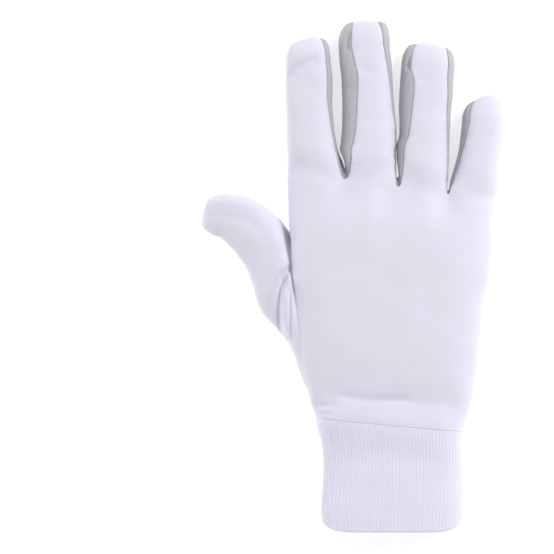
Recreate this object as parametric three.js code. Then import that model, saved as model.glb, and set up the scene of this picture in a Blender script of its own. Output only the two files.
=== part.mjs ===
// A wicketkeeper's inner glove for the right hand, lying palm down, in millimetres with +Z up.
// X runs across the hand with the thumb at the negative end, and Y runs from the cuff to the fingertips.
// The origin is on the ground under the middle of the glove.
// The cloth panels share one skin, made of rings of points round the hand, the fingers and the thumb.
// A panel takes its part of each ring, stops short of its seams by half a gap, and gets its thickness
// along normals that it shares with its neighbours.
import * as THREE from 'three';

// Thickness of each cloth
const WALL = { back: 1.2, palm: 2.0, fourchette: 1.0, thumb: 1.5, cuff: 2.6 };
// Clear gap between two panels at a seam
const SEAM_GAP = 0.3;
// Divisions of the skin's rings across an outer finger, an inner finger and the side of a finger
const OUTER_FINGER_COLUMNS = 6;
const INNER_FINGER_COLUMNS = 5;
const SIDE_COLUMNS = 2;

// Roundness of a section: 2 is an ellipse, and more is squarer
const BACK_ROUNDNESS = 2.5;
const PALM_ROUNDNESS = 3.3;
const FINGER_BACK_ROUNDNESS = 2.3;
const FINGER_PALM_ROUNDNESS = 3.0;
// Share of the height at which a section is widest
const WIDEST_SHARE = 0.43;
// How far an unpressed section would reach below the ground, which flattens it there
const PRESSED_DEPTH = 1.0;
// The back and palm panels meet this far below the widest line, and the back panel's edge rises
// by the second angle in the middle of the thumb's hole
const SIDE_SEAM_ANGLE = THREE.MathUtils.degToRad(12);
const THUMB_HOLE_RISE = THREE.MathUtils.degToRad(9);

// Where the fingers part: a line across the hand that drops towards the little finger
const WEB = { y: 44.6, x: 20, tilt: 0.1456, blend: 15 };
const WEB_POINTS = [-4.25, 22.25, 47.25];
// The valley between two fingers that runs out on the hand: its depth in the back, its rise in the palm,
// how far along the hand and round it it reaches, and how much sooner it runs out in the palm
const WEB_VALLEY = { depth: 5.0, rise: 2.4, length: 26, angle: 0.2, palmPower: 4 };
// The seam between hand and cuff, which also drops towards the little finger
const CUFF_SEAM = { y: -74.5, x: 20, tilt: 0.09 };
// The hand's tilt goes from the cuff seam's to the web's between these distances along the hand
const TILT_FROM = -20;
// Soft crease across the back above the cuff
const CREASE = { y: -60.6, depth: 1.5, width: 2.2, from: -12, fadeIn: 12, to: 52, fadeOut: 40 };

const table = (columns, rows) => rows.map((row) => (
  Object.fromEntries(columns.map((name, i) => [name, row[i]]))
));

// The hand's edges and the height of its back, by distance along it
const HAND = table(['y', 'left', 'right', 'top'], [
  [-80, -15.9, 54.9, 24.4],
  [-76, -16.5, 55.3, 24.8],
  [-71, -18.4, 56.6, 25.6],
  [-62, -21.7, 59.3, 26.4],
  [-50, -24.7, 61.2, 27.2],
  [-37, -26.4, 62.7, 27.8],
  [-12, -29.3, 65.1, 27.6],
  [3, -30.6, 68.7, 27.0],
  [17, -31.3, 69.7, 25.8],
  [30, -31.8, 69.6, 24.0],
  [42, -32.3, 71.9, 21.8],
  [58, -32.8, 73.6, 19.6],
  [72, -32.8, 74.2, 17.8],
]);
// Lines across the hand from the cuff seam to the web, by distance along the middle of the hand
const HAND_LINES = [-74.5, -71.5, -68, -64.8, -62.6, -60.6, -58.4, -54, -47, -38, -29, -20, -11, -3, 5, 13.2,
  20, 27, 33, 38.5, 42.2, 44.6];
// The lines between which the thumb joins the hand
const THUMB_FROM_LINE = 3;
const THUMB_TO_LINE = 15;
const thumbHalf = THUMB_TO_LINE - THUMB_FROM_LINE;

// The thumb's seam in the palm
const THUMB_SEAM = table(['y', 'x'], [
  [-60, -20],
  [-52, -15.5],
  [-40, -11.5],
  [-22, -10],
  [-6, -15],
  [6, -22],
  [18, -30],
]);
// Where that seam lies on average, as a share of the way from the middle of the hand to its left edge
const THUMB_SEAM_SHARE = 0.7;

// Each finger: its edges and height by distance along the glove, the width and place of its squarish tip,
// and how far each gray strip's seam lies in from the edge
const EDGE = ['y', 'left', 'right', 'top'];
const SEAM = ['y', 'inset'];
const FINGERS = [
  {
    name: 'index',
    edges: table(EDGE, [
      [50, -32.5, -4.8, 20.4],
      [57, -32.8, -6.2, 19.4],
      [66, -32.8, -8.0, 18.2],
      [74, -32.8, -9.3, 17.4],
      [86, -33.3, -10.2, 16.4],
      [98, -33.4, -9.8, 15.4],
      [106, -33.5, -10.8, 14.6],
    ]),
    tip: { from: 106, y: 117.6, left: -26.2, right: -14.4, bow: 1.6, skew: 0.5 },
    rightSeam: table(SEAM, [[52, 0.8], [70, 2.0], [95, 2.7], [106, 2.4]]),
  },
  {
    name: 'middle',
    edges: table(EDGE, [
      [50, -3.7, 21.8, 20.4],
      [57, -5.4, 21.6, 19.4],
      [62, -6.5, 21.4, 18.8],
      [66, -5.9, 21.7, 18.4],
      [74, -5.3, 21.7, 17.6],
      [82, -5.2, 20.8, 17.0],
      [98, -5.7, 19.8, 16.0],
      [106, -6.7, 19.3, 15.5],
      [115, -7.2, 18.8, 14.8],
    ]),
    tip: { from: 115, y: 126.2, left: -0.6, right: 15.6, bow: 1.6, skew: -0.1 },
    leftSeam: table(SEAM, [[52, 5.0], [66, 6.0], [80, 6.6], [92, 7.6], [104, 7.4], [115, 5.8]]),
    rightSeam: table(SEAM, [[52, 0.4], [75, 0.6], [88, 1.0], [103, 2.3], [115, 3.8]]),
  },
  {
    name: 'ring',
    edges: table(EDGE, [
      [43, 22.7, 47.0, 20.4],
      [50, 22.8, 47.4, 19.8],
      [57, 22.5, 47.9, 18.9],
      [62, 22.6, 48.2, 18.3],
      [66, 23.2, 48.3, 17.9],
      [74, 23.2, 48.8, 17.2],
      [82, 23.2, 49.3, 16.6],
      [90, 23.3, 50.3, 16.0],
      [98, 23.8, 50.7, 15.4],
      [105, 24.2, 51.2, 14.8],
    ]),
    tip: { from: 104.5, y: 114.4, left: 29.3, right: 46.2, bow: 1.9, skew: -0.9 },
    leftSeam: table(SEAM, [[48, 3.0], [60, 3.8], [68, 4.4], [82, 6.4], [98, 6.4], [105, 5.4]]),
    rightSeam: table(SEAM, [[48, 0.7], [73, 0.8], [92, 1.8], [105, 2.9]]),
  },
  {
    name: 'little',
    edges: table(EDGE, [
      [41, 47.4, 71.8, 19.4],
      [47, 48.9, 72.6, 18.2],
      [54, 50.8, 73.2, 17.2],
      [62, 52.7, 73.8, 16.2],
      [70, 53.7, 75.2, 15.2],
      [76, 54.2, 75.7, 14.4],
    ]),
    tip: { from: 76, y: 87.8, left: 62.0, right: 73.2, bow: 2.6, skew: 0.6 },
    leftSeam: table(SEAM, [[44, 1.0], [55, 1.8], [65, 2.5], [76, 3.4]]),
  },
];
// Inset of every gray strip's seam on the palm side
const PALM_SEAM_INSET = 3.4;
// Rings near a finger's root, by distance from the web, the number of even ones above them,
// and the angles of those that round off the tip
const ROOT_RINGS = [2.2, 5.5, 10, 16];
const EVEN_RINGS = 5;
const TIP_ANGLES = [32, 58, 77, 90].map(THREE.MathUtils.degToRad);

// Sections of the thumb from the hand outwards: the end of each that faces the index finger, the end
// away from it, its height, and how far it has left the shape of the hole in the hand
const THUMB = table(['innerX', 'innerY', 'outerX', 'outerY', 'top', 'own'], [
  [-32.6, 23.2, -25.8, -49.0, 13.0, 0.3],
  [-35.2, 26.8, -31.0, -35.6, 16.0, 0.55],
  [-39.0, 30.6, -38.3, -26.4, 18.2, 0.8],
  [-43.2, 34.3, -45.8, -17.8, 19.2, 0.94],
  [-47.4, 37.1, -49.6, -6.6, 19.4, 1],
  [-52.0, 39.1, -53.6, 4.0, 19.0, 1],
  [-56.8, 40.4, -60.4, 13.4, 18.2, 1],
  [-61.5, 40.8, -66.6, 19.0, 17.2, 1],
]);
const THUMB_TIP = { x: -74.7, y: 31.6, flat: 0.27 };

// The cuff's edges and height from the seam down, and its rounded hem
const CUFF = table(['y', 'left', 'right', 'top'], [
  [-126, -15.4, 54.4, 19.6],
  [-120, -16.0, 55.0, 20.4],
  [-110, -15.4, 55.3, 21.4],
  [-96, -14.8, 55.3, 22.6],
  [-86, -15.2, 54.9, 23.6],
  [-74, -16.6, 55.4, 24.6],
]);
const CUFF_LINES = [-84, -98, -112, -123.4];
const CUFF_MIDDLE = CUFF_LINES[1];
const CUFF_HEM = CUFF_LINES[3];
const CUFF_BOTTOM = -127.7;
// The hem's rounding, how far its two corners rise and how sharply, and its inner edge's share of the wall
const HEM = { round: 1.6, cornerRise: 4.5, cornerPower: 8, innerShare: 0.65 };
const RIBS = 96;
const RIB_HEIGHT = 0.5;
const CUFF_INNER_COLUMNS = RIBS / 2;
// Fine steps round the cuff, from which its evenly spaced angles are picked
const CUFF_FINE_STEPS = 1440;
// Below this a length or a share counts as nothing
const TINY = 1e-6;

const smooth = (t) => THREE.MathUtils.smoothstep(t, 0, 1);
const mix = THREE.MathUtils.lerp;
const bell = (t) => Math.exp(-t * t);

// Reads a column of a table at a distance along the glove, on a smooth curve through the rows
function read(rows, y, column) {
  const last = rows.length - 1;
  const at = Math.min(Math.max(y, rows[0].y), rows[last].y);
  let i = 0;
  while (i < last - 1 && rows[i + 1].y < at) i += 1;
  const slope = (a, b) => (rows[b][column] - rows[a][column]) / (rows[b].y - rows[a].y);
  const span = rows[i + 1].y - rows[i].y;
  const t = (at - rows[i].y) / span;
  const before = slope(Math.max(i - 1, 0), i + 1) * span;
  const after = slope(i, Math.min(i + 2, last)) * span;
  const a = rows[i][column];
  const b = rows[i + 1][column];
  return a * (1 + 2 * t) * (1 - t) ** 2 + before * t * (1 - t) ** 2
    + b * t * t * (3 - 2 * t) + after * t * t * (t - 1);
}

// Unit point of a rounded section: across from -1 to 1, and up from -1 to 1
function superellipse(angle, upper, lower) {
  const roundness = Math.sin(angle) >= 0 ? upper : lower;
  const bend = (value) => Math.sign(value) * Math.abs(value) ** (2 / roundness);
  return { across: bend(Math.cos(angle)), up: bend(Math.sin(angle)) };
}

// Height of a section's point, pressed flat where it would go below the ground
function sectionHeight(up, top, swell = 1) {
  const widest = top * WIDEST_SHARE;
  const reach = up >= 0 ? top - widest : widest + PRESSED_DEPTH;
  return Math.max(0, widest + reach * up * swell);
}

// The hand: sections that lie on tilted lines across it
function handTilt(line) {
  return mix(CUFF_SEAM.tilt, WEB.tilt, smooth((line - TILT_FROM) / (WEB.y - TILT_FROM)));
}

function handEdge(line, column) {
  const nearby = read(HAND, line, column);
  return read(HAND, line - handTilt(line) * (nearby - WEB.x), column);
}

function webAngle(webX, roundness) {
  const left = handEdge(WEB.y, 'left');
  const right = handEdge(WEB.y, 'right');
  const across = (2 * webX - left - right) / (right - left);
  const cosine = Math.sign(across) * Math.abs(across) ** (roundness / 2);
  return Math.acos(cosine);
}

const BACK_WEB_ANGLES = WEB_POINTS.map((x) => webAngle(x, BACK_ROUNDNESS));
const PALM_WEB_ANGLES = WEB_POINTS.map((x) => -webAngle(x, PALM_ROUNDNESS));
const BACK_CELLS = [Math.PI + SIDE_SEAM_ANGLE, ...BACK_WEB_ANGLES, -SIDE_SEAM_ANGLE];
const PALM_CELLS = [SIDE_SEAM_ANGLE - Math.PI, ...PALM_WEB_ANGLES, -SIDE_SEAM_ANGLE];

function handPoint(line, angle) {
  const left = handEdge(line, 'left');
  const right = handEdge(line, 'right');
  const { across, up } = superellipse(angle, BACK_ROUNDNESS, PALM_ROUNDNESS);
  const x = (left + right) / 2 + across * (right - left) / 2;
  const y = line - handTilt(line) * (x - WEB.x);
  let z = sectionHeight(up, read(HAND, y, 'top'));
  const nearWeb = smooth((line - WEB.y + WEB_VALLEY.length) / WEB_VALLEY.length) ** 2;
  const webs = up >= 0 ? BACK_WEB_ANGLES : PALM_WEB_ANGLES;
  const valley = webs.reduce((sum, web) => sum + bell((angle - web) / WEB_VALLEY.angle), 0);
  z += valley * (up >= 0 ? -WEB_VALLEY.depth * nearWeb : WEB_VALLEY.rise * nearWeb ** WEB_VALLEY.palmPower);
  if (up > 0) {
    const along = smooth((x - CREASE.from) / CREASE.fadeIn) * smooth((CREASE.to - x) / CREASE.fadeOut);
    z -= CREASE.depth * along * bell((line - CREASE.y) / CREASE.width);
  }
  return new THREE.Vector3(x, y, z);
}

// The palm panel's left edge: the side seam, or the thumb's seam where the thumb joins the hand
function palmLeftAngle(lineIndex) {
  const side = PALM_CELLS[0];
  if (lineIndex <= THUMB_FROM_LINE || lineIndex >= THUMB_TO_LINE) return side;
  const line = HAND_LINES[lineIndex];
  const left = handEdge(line, 'left');
  const right = handEdge(line, 'right');
  const seamY = line - handTilt(line) * (left - WEB.x) * THUMB_SEAM_SHARE;
  const seamX = read(THUMB_SEAM, seamY, 'x');
  const across = Math.min(1, (left + right - 2 * seamX) / (right - left));
  return Math.max(side, -Math.PI + Math.acos(across ** (PALM_ROUNDNESS / 2)));
}

// A finger: sections straight across the glove, rounded off towards the tip
function seamAngle(inset, halfWidth, roundness) {
  return Math.acos((1 - inset / halfWidth) ** (roundness / 2));
}

function fingerSection(finger, y, tipAngle) {
  const swell = Math.cos(tipAngle);
  const edge = (column) => read(finger.edges, Math.min(y, finger.tip.from), column);
  const { tip } = finger;
  const left = mix(tip.left, edge('left'), swell);
  const right = mix(tip.right, edge('right'), swell);
  const half = (right - left) / 2;
  const lower = mix(FINGER_BACK_ROUNDNESS, FINGER_PALM_ROUNDNESS, swell);
  const backInset = (seam) => read(seam, Math.min(y, tip.from), 'inset') * swell;
  const angles = (seam, wrap) => {
    if (!seam) return [-wrap, wrap];
    const backAngle = seamAngle(backInset(seam), half, FINGER_BACK_ROUNDNESS);
    return [backAngle, seamAngle(PALM_SEAM_INSET * swell, half, lower)];
  };
  const [backRight, palmRight] = angles(finger.rightSeam, SIDE_SEAM_ANGLE * swell);
  const [backLeft, palmLeft] = angles(finger.leftSeam, SIDE_SEAM_ANGLE * swell);
  return {
    finger, y, left, right, swell, lower, top: edge('top'),
    back: [Math.PI - backLeft, backRight],
    palm: [-palmRight, palmLeft - Math.PI],
  };
}

function fingerPoint(section, tilt, middleX, angle) {
  const { across, up } = superellipse(angle, FINGER_BACK_ROUNDNESS, section.lower);
  const x = mix(section.left, section.right, (across + 1) / 2);
  const { bow, skew } = section.finger.tip;
  const rounding = skew * across + bow * (1 - across ** 2);
  const y = section.y - tilt * (x - middleX) + (1 - section.swell) * rounding;
  return new THREE.Vector3(x, y, sectionHeight(up, section.top, section.swell));
}

// The skin: a pool of points, and rings that name them
const skin = [];
function addPoint(point) {
  skin.push(point);
  return skin.length - 1;
}
const steps = (from, to, count) => Array.from({ length: count + 1 }, (_, i) => mix(from, to, i / count));
const isOuter = (f) => f === 0 || f === FINGERS.length - 1;
const columnsOf = (f) => (isOuter(f) ? OUTER_FINGER_COLUMNS : INNER_FINGER_COLUMNS);

// Angles across the hand's back from left to right, or across its palm from right to left
function cellAngles(cells) {
  return FINGERS.flatMap((_, f) => steps(cells[f], cells[f + 1], columnsOf(f)).slice(f === 0 ? 0 : 1));
}

const handRings = HAND_LINES.map((line, index) => {
  const alongHole = THREE.MathUtils.clamp((index - THUMB_FROM_LINE) / thumbHalf, 0, 1);
  const backLeftAngle = BACK_CELLS[0] - THUMB_HOLE_RISE * Math.sin(Math.PI * alongHole);
  const backAngles = cellAngles([backLeftAngle, ...BACK_CELLS.slice(1)]);
  const back = backAngles.map((angle) => addPoint(handPoint(line, angle)));
  const leftAngle = palmLeftAngle(index);
  const palmAngles = cellAngles([leftAngle, ...PALM_CELLS.slice(1)]).reverse();
  const palm = palmAngles.slice(1, -1).map((angle) => addPoint(handPoint(line, angle)));
  const onSide = leftAngle === PALM_CELLS[0];
  const last = onSide ? back[0] : addPoint(handPoint(line, leftAngle));
  return { back, palm: [back[back.length - 1], ...palm, last] };
});
const webRing = handRings[handRings.length - 1];

const columnStarts = [0];
FINGERS.forEach((_, f) => columnStarts.push(columnStarts[f] + columnsOf(f)));
const allColumns = columnStarts.pop();

// Points inside the short wall between two fingers, from the back down to the palm
const webWalls = WEB_POINTS.map((_, w) => {
  const backPoint = skin[webRing.back[columnStarts[w + 1]]];
  const palmPoint = skin[webRing.palm[allColumns - columnStarts[w + 1]]];
  return steps(0, 1, SIDE_COLUMNS).slice(1, -1).map((t) => addPoint(backPoint.clone().lerp(palmPoint, t)));
});

const fingerRings = FINGERS.map((finger, f) => {
  const columns = columnsOf(f);
  const start = columnStarts[f];
  const palmStart = allColumns - start - columns;
  const rings = [{
    back: webRing.back.slice(start, start + columns + 1),
    right: f < WEB_POINTS.length ? webWalls[f] : [],
    palm: webRing.palm.slice(palmStart, palmStart + columns + 1),
    left: f > 0 ? [...webWalls[f - 1]].reverse() : [],
  }];
  const middleX = (skin[rings[0].back[0]].x + skin[rings[0].back[columns]].x) / 2;
  const rootY = WEB.y - WEB.tilt * (middleX - WEB.x);
  const straight = finger.tip.from - rootY;
  const lastRoot = ROOT_RINGS[ROOT_RINGS.length - 1];
  const offsets = [...ROOT_RINGS, ...steps(lastRoot, straight, EVEN_RINGS).slice(1)];
  const stations = [
    ...offsets.map((offset) => ({ offset, tipAngle: 0 })),
    ...TIP_ANGLES.map((tipAngle) => ({
      offset: straight + (finger.tip.y - finger.tip.from) * Math.sin(tipAngle),
      tipAngle,
    })),
  ];
  stations.forEach(({ offset, tipAngle }) => {
    const section = fingerSection(finger, rootY + offset, tipAngle);
    const tilt = WEB.tilt * (1 - smooth(offset / (2 * WEB.blend)));
    const own = smooth(offset / WEB.blend);
    const onFinger = (angle) => fingerPoint(section, tilt, middleX, angle);
    const onHand = (angle) => handPoint(WEB.y + offset, angle);
    const blended = (handAngle, angle) => addPoint(onHand(handAngle).lerp(onFinger(angle), own));
    const strip = (handAngles, angles) => steps(0, 1, columns)
      .map((t) => blended(mix(handAngles[0], handAngles[1], t), mix(angles[0], angles[1], t)));
    const side = (web, from, to) => steps(0, 1, SIDE_COLUMNS).slice(1, -1).map((t) => {
      const wall = onHand(BACK_WEB_ANGLES[web]).lerp(onHand(PALM_WEB_ANGLES[web]), t);
      return addPoint(wall.lerp(onFinger(mix(from, to, t)), own));
    });
    const isTip = section.swell < TINY;
    const back = strip([BACK_CELLS[f], BACK_CELLS[f + 1]], section.back);
    const hasLeft = Boolean(finger.leftSeam);
    const hasRight = Boolean(finger.rightSeam);
    let palm = [...back].reverse();
    if (!isTip) {
      palm = strip([PALM_CELLS[f + 1], PALM_CELLS[f]], section.palm);
      if (!hasRight) palm[0] = back[columns];
      if (!hasLeft) palm[columns] = back[0];
    }
    const leftFrom = section.palm[1] + 2 * Math.PI;
    const collapsed = (id) => Array(SIDE_COLUMNS - 1).fill(id);
    const right = isTip ? collapsed(back[columns]) : side(f, section.back[1], section.palm[0]);
    const left = isTip ? collapsed(back[0]) : side(f - 1, section.back[0], leftFrom).reverse();
    rings.push({ back, palm, right: hasRight ? right : [], left: hasLeft ? left : [] });
  });
  return rings;
});

// The thumb: rings that leave the hole in the hand and turn towards the tip
const thumbHole = (() => {
  const lines = handRings.slice(THUMB_FROM_LINE, THUMB_TO_LINE + 1).reverse();
  const backEdge = lines.map((ring) => ring.back[0]);
  const palmEdge = lines.map((ring) => ring.palm[allColumns]).reverse();
  return [...backEdge, ...palmEdge.slice(1, -1)];
})();

function flatPoint(x, y) {
  return new THREE.Vector2(x, y);
}

function thumbRing(inner, outer, top, swell, own) {
  const holeInner = skin[thumbHole[0]];
  const holeOuter = skin[thumbHole[thumbHalf]];
  const holeSpan = flatPoint(holeOuter.x - holeInner.x, holeOuter.y - holeInner.y);
  const span = outer.clone().sub(inner);
  const sideways = flatPoint(span.y, -span.x).normalize();
  const holeSideways = flatPoint(holeSpan.y, -holeSpan.x).normalize();
  const ids = thumbHole.map((id, i) => {
    const angle = Math.PI * i / thumbHalf;
    const lower = mix(FINGER_BACK_ROUNDNESS, FINGER_PALM_ROUNDNESS, swell);
    const { across, up } = superellipse(angle, FINGER_BACK_ROUNDNESS, lower);
    const fromHole = flatPoint(skin[id].x - holeInner.x, skin[id].y - holeInner.y);
    const holeShare = fromHole.dot(holeSpan) / holeSpan.lengthSq();
    const share = mix(holeShare, (1 - across) / 2, own);
    const drift = (1 - own) * fromHole.dot(holeSideways);
    const place = inner.clone().addScaledVector(span, share).addScaledVector(sideways, drift);
    const z = mix(skin[id].z, sectionHeight(up, top, swell), own);
    return addPoint(new THREE.Vector3(place.x, place.y, z));
  });
  if (swell < TINY) return ids.map((id, i) => (i <= thumbHalf ? id : ids[2 * thumbHalf - i]));
  return ids;
}

const thumbRings = [thumbHole];
THUMB.forEach((row) => {
  const inner = flatPoint(row.innerX, row.innerY);
  const outer = flatPoint(row.outerX, row.outerY);
  thumbRings.push(thumbRing(inner, outer, row.top, 1, row.own));
});
TIP_ANGLES.forEach((tipAngle) => {
  const last = THUMB[THUMB.length - 1];
  const middle = flatPoint((last.innerX + last.outerX) / 2, (last.innerY + last.outerY) / 2);
  const half = flatPoint((last.innerX - last.outerX) / 2, (last.innerY - last.outerY) / 2);
  middle.lerp(flatPoint(THUMB_TIP.x, THUMB_TIP.y), Math.sin(tipAngle));
  half.multiplyScalar(mix(THUMB_TIP.flat, 1, Math.cos(tipAngle)));
  const inner = middle.clone().add(half);
  const outer = middle.clone().sub(half);
  thumbRings.push(thumbRing(inner, outer, last.top, Math.cos(tipAngle), 1));
});

// Triangles between neighbouring rings, with their faces outwards
function bands(rings, flip = false) {
  const faces = [];
  for (let i = 0; i + 1 < rings.length; i += 1) {
    for (let j = 0; j + 1 < rings[i].length; j += 1) {
      const quad = [rings[i][j], rings[i][j + 1], rings[i + 1][j + 1], rings[i + 1][j]];
      if (flip) quad.reverse();
      faces.push([quad[0], quad[1], quad[2]], [quad[0], quad[2], quad[3]]);
    }
  }
  return faces.filter(([a, b, c]) => a !== b && b !== c && c !== a);
}

const rightSide = (ring) => [ring.back[ring.back.length - 1], ...ring.right, ring.palm[0]];
const leftSide = (ring) => [ring.palm[ring.palm.length - 1], ...ring.left, ring.back[0]];
const closedThumb = thumbRings.map((ring) => [...ring, ring[0]]);

const panels = {
  back_panel: [
    ...bands(handRings.map((ring) => ring.back)),
    ...fingerRings.flatMap((rings) => bands(rings.map((ring) => ring.back))),
  ],
  palm_panel: [
    ...bands(handRings.map((ring) => ring.palm)),
    ...fingerRings.flatMap((rings) => bands(rings.map((ring) => ring.palm))),
  ],
  thumb_back: bands(closedThumb.map((ring) => ring.slice(0, thumbHalf + 1)), true),
  thumb_front: bands(closedThumb.map((ring) => ring.slice(thumbHalf)), true),
};
WEB_POINTS.forEach((_, w) => {
  panels[`fourchette_${FINGERS[w].name}_${FINGERS[w + 1].name}`] = [
    ...bands(fingerRings[w].map(rightSide)),
    ...bands(fingerRings[w + 1].map(leftSide)),
  ];
});

// Normals of the whole skin, level with the seam plane where the hand meets the cuff
const corners = ([a, b, c]) => [skin[a], skin[b], skin[c]];
function faceNormal(face) {
  const [a, b, c] = corners(face);
  return b.clone().sub(a).cross(c.clone().sub(a));
}

const allFaces = Object.values(panels).flat();
const normals = skin.map(() => new THREE.Vector3());
const slants = skin.map(() => []);
allFaces.forEach((face) => {
  const normal = faceNormal(face);
  face.forEach((id) => normals[id].add(normal));
});
const cuffPlane = new THREE.Vector3(CUFF_SEAM.tilt, 1, 0).normalize();
new Set([...handRings[0].back, ...handRings[0].palm]).forEach((id) => normals[id].projectOnPlane(cuffPlane));
normals.forEach((normal) => normal.normalize());
allFaces.forEach((face) => {
  const normal = faceNormal(face).normalize();
  face.forEach((id) => slants[id].push(normal.dot(normals[id])));
});
// A point on a sharp edge goes in further, so that the walls beside it keep their thickness
const LONGEST_MITRE = 1.3;
const mitres = slants.map((list) => {
  const mean = list.reduce((sum, value) => sum + value, 0) / Math.max(1, list.length);
  return 1 / Math.max(mean, 1 / LONGEST_MITRE);
});

// Free depth behind each point: how far it is to the skin across the hollow
const rooms = skin.map((point, id) => {
  const ray = new THREE.Ray(point, normals[id].clone().negate());
  const hit = new THREE.Vector3();
  return allFaces.reduce((room, face) => {
    if (face.includes(id) || !ray.intersectTriangle(...corners(face), false, hit)) return room;
    return Math.min(room, hit.distanceTo(point));
  }, Infinity);
});
// A wall fills less than half of that depth where the hollow narrows to a corner
const LARGEST_SHARE = 0.4;

// Edges of a panel that no second triangle shares, each with the direction into the panel
function openEdges(faces) {
  const edges = new Map();
  faces.forEach((face) => face.forEach((a, i) => edges.set(`${a},${face[(i + 1) % 3]}`, face)));
  const open = [];
  edges.forEach((face, key) => {
    const [a, b] = key.split(',').map(Number);
    if (edges.has(`${b},${a}`)) return;
    const along = skin[b].clone().sub(skin[a]);
    open.push({ a, b, inward: faceNormal(face).cross(along).normalize() });
  });
  return open;
}

// Longest move of a corner away from its seams, in half gaps
const LONGEST_RETREAT = 4;

function retreats(open) {
  const inwards = new Map();
  open.forEach(({ a, b, inward }) => [a, b].forEach((id) => {
    inwards.set(id, [...(inwards.get(id) ?? []), inward]);
  }));
  const moves = new Map();
  inwards.forEach((list, id) => {
    const sum = list.reduce((total, inward) => total.add(inward), new THREE.Vector3());
    const reach = list.length / Math.max(sum.length(), TINY);
    sum.normalize().multiplyScalar(SEAM_GAP / 2 * Math.min(reach, LONGEST_RETREAT));
    moves.set(id, sum);
  });
  return moves;
}

function geometryOf(points, faces) {
  const geometry = new THREE.BufferGeometry();
  const values = points.flatMap((point) => [point.x, point.y, point.z]);
  geometry.setAttribute('position', new THREE.Float32BufferAttribute(values, 3));
  geometry.setIndex(faces.flat());
  geometry.computeVertexNormals();
  return geometry;
}

// A closed solid from a panel: the skin outside, the same moved in by the wall inside, and the rim
function clothSolid(faces, wall) {
  const open = openEdges(faces);
  const moves = retreats(open);
  const ids = [...new Set(faces.flat())];
  const place = new Map(ids.map((id, i) => [id, i]));
  const outer = ids.map((id) => {
    const point = skin[id].clone().add(moves.get(id) ?? new THREE.Vector3());
    point.z = Math.max(0, point.z);
    return point;
  });
  const depth = (id) => Math.min(wall * mitres[id], rooms[id] * LARGEST_SHARE);
  const inner = ids.map((id, i) => outer[i].clone().addScaledVector(normals[id], -depth(id)));
  const inside = (id) => place.get(id) + ids.length;
  const outside = (id) => place.get(id);
  const solid = faces.flatMap(([a, b, c]) => [[a, b, c].map(outside), [c, b, a].map(inside)]);
  // Both panels at a seam split its rim along the same diagonals, so that bent rims match
  open.forEach(({ a, b }) => {
    if (a < b) solid.push([outside(b), outside(a), inside(b)], [outside(a), inside(a), inside(b)]);
    else solid.push([outside(b), outside(a), inside(a)], [outside(b), inside(a), inside(b)]);
  });
  return geometryOf([...outer, ...inner], solid);
}

// The cuff: a knitted tube with ribs outside, a rounded hem and a plain inside
function cuffPoint(y, angle, depth) {
  const { across, up } = superellipse(angle, BACK_ROUNDNESS, PALM_ROUNDNESS);
  const left = read(CUFF, y, 'left') + depth;
  const right = read(CUFF, y, 'right') - depth;
  const top = read(CUFF, y, 'top');
  const z = up >= 0 ? mix(top * WIDEST_SHARE, top - depth, up) : sectionHeight(up, top);
  return new THREE.Vector3(mix(left, right, (across + 1) / 2), y, Math.max(depth, z));
}

// Angles that divide the cuff's middle section into equal lengths
function evenAngles(count) {
  const fine = steps(0, 2 * Math.PI, CUFF_FINE_STEPS);
  const lengths = [0];
  fine.slice(1).forEach((angle, i) => {
    const step = cuffPoint(CUFF_MIDDLE, angle, 0).distanceTo(cuffPoint(CUFF_MIDDLE, fine[i], 0));
    lengths.push(lengths[i] + step);
  });
  const wanted = steps(0, lengths[lengths.length - 1], count).slice(0, -1);
  return wanted.map((distance) => fine[lengths.findIndex((length) => length >= distance)]);
}

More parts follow.
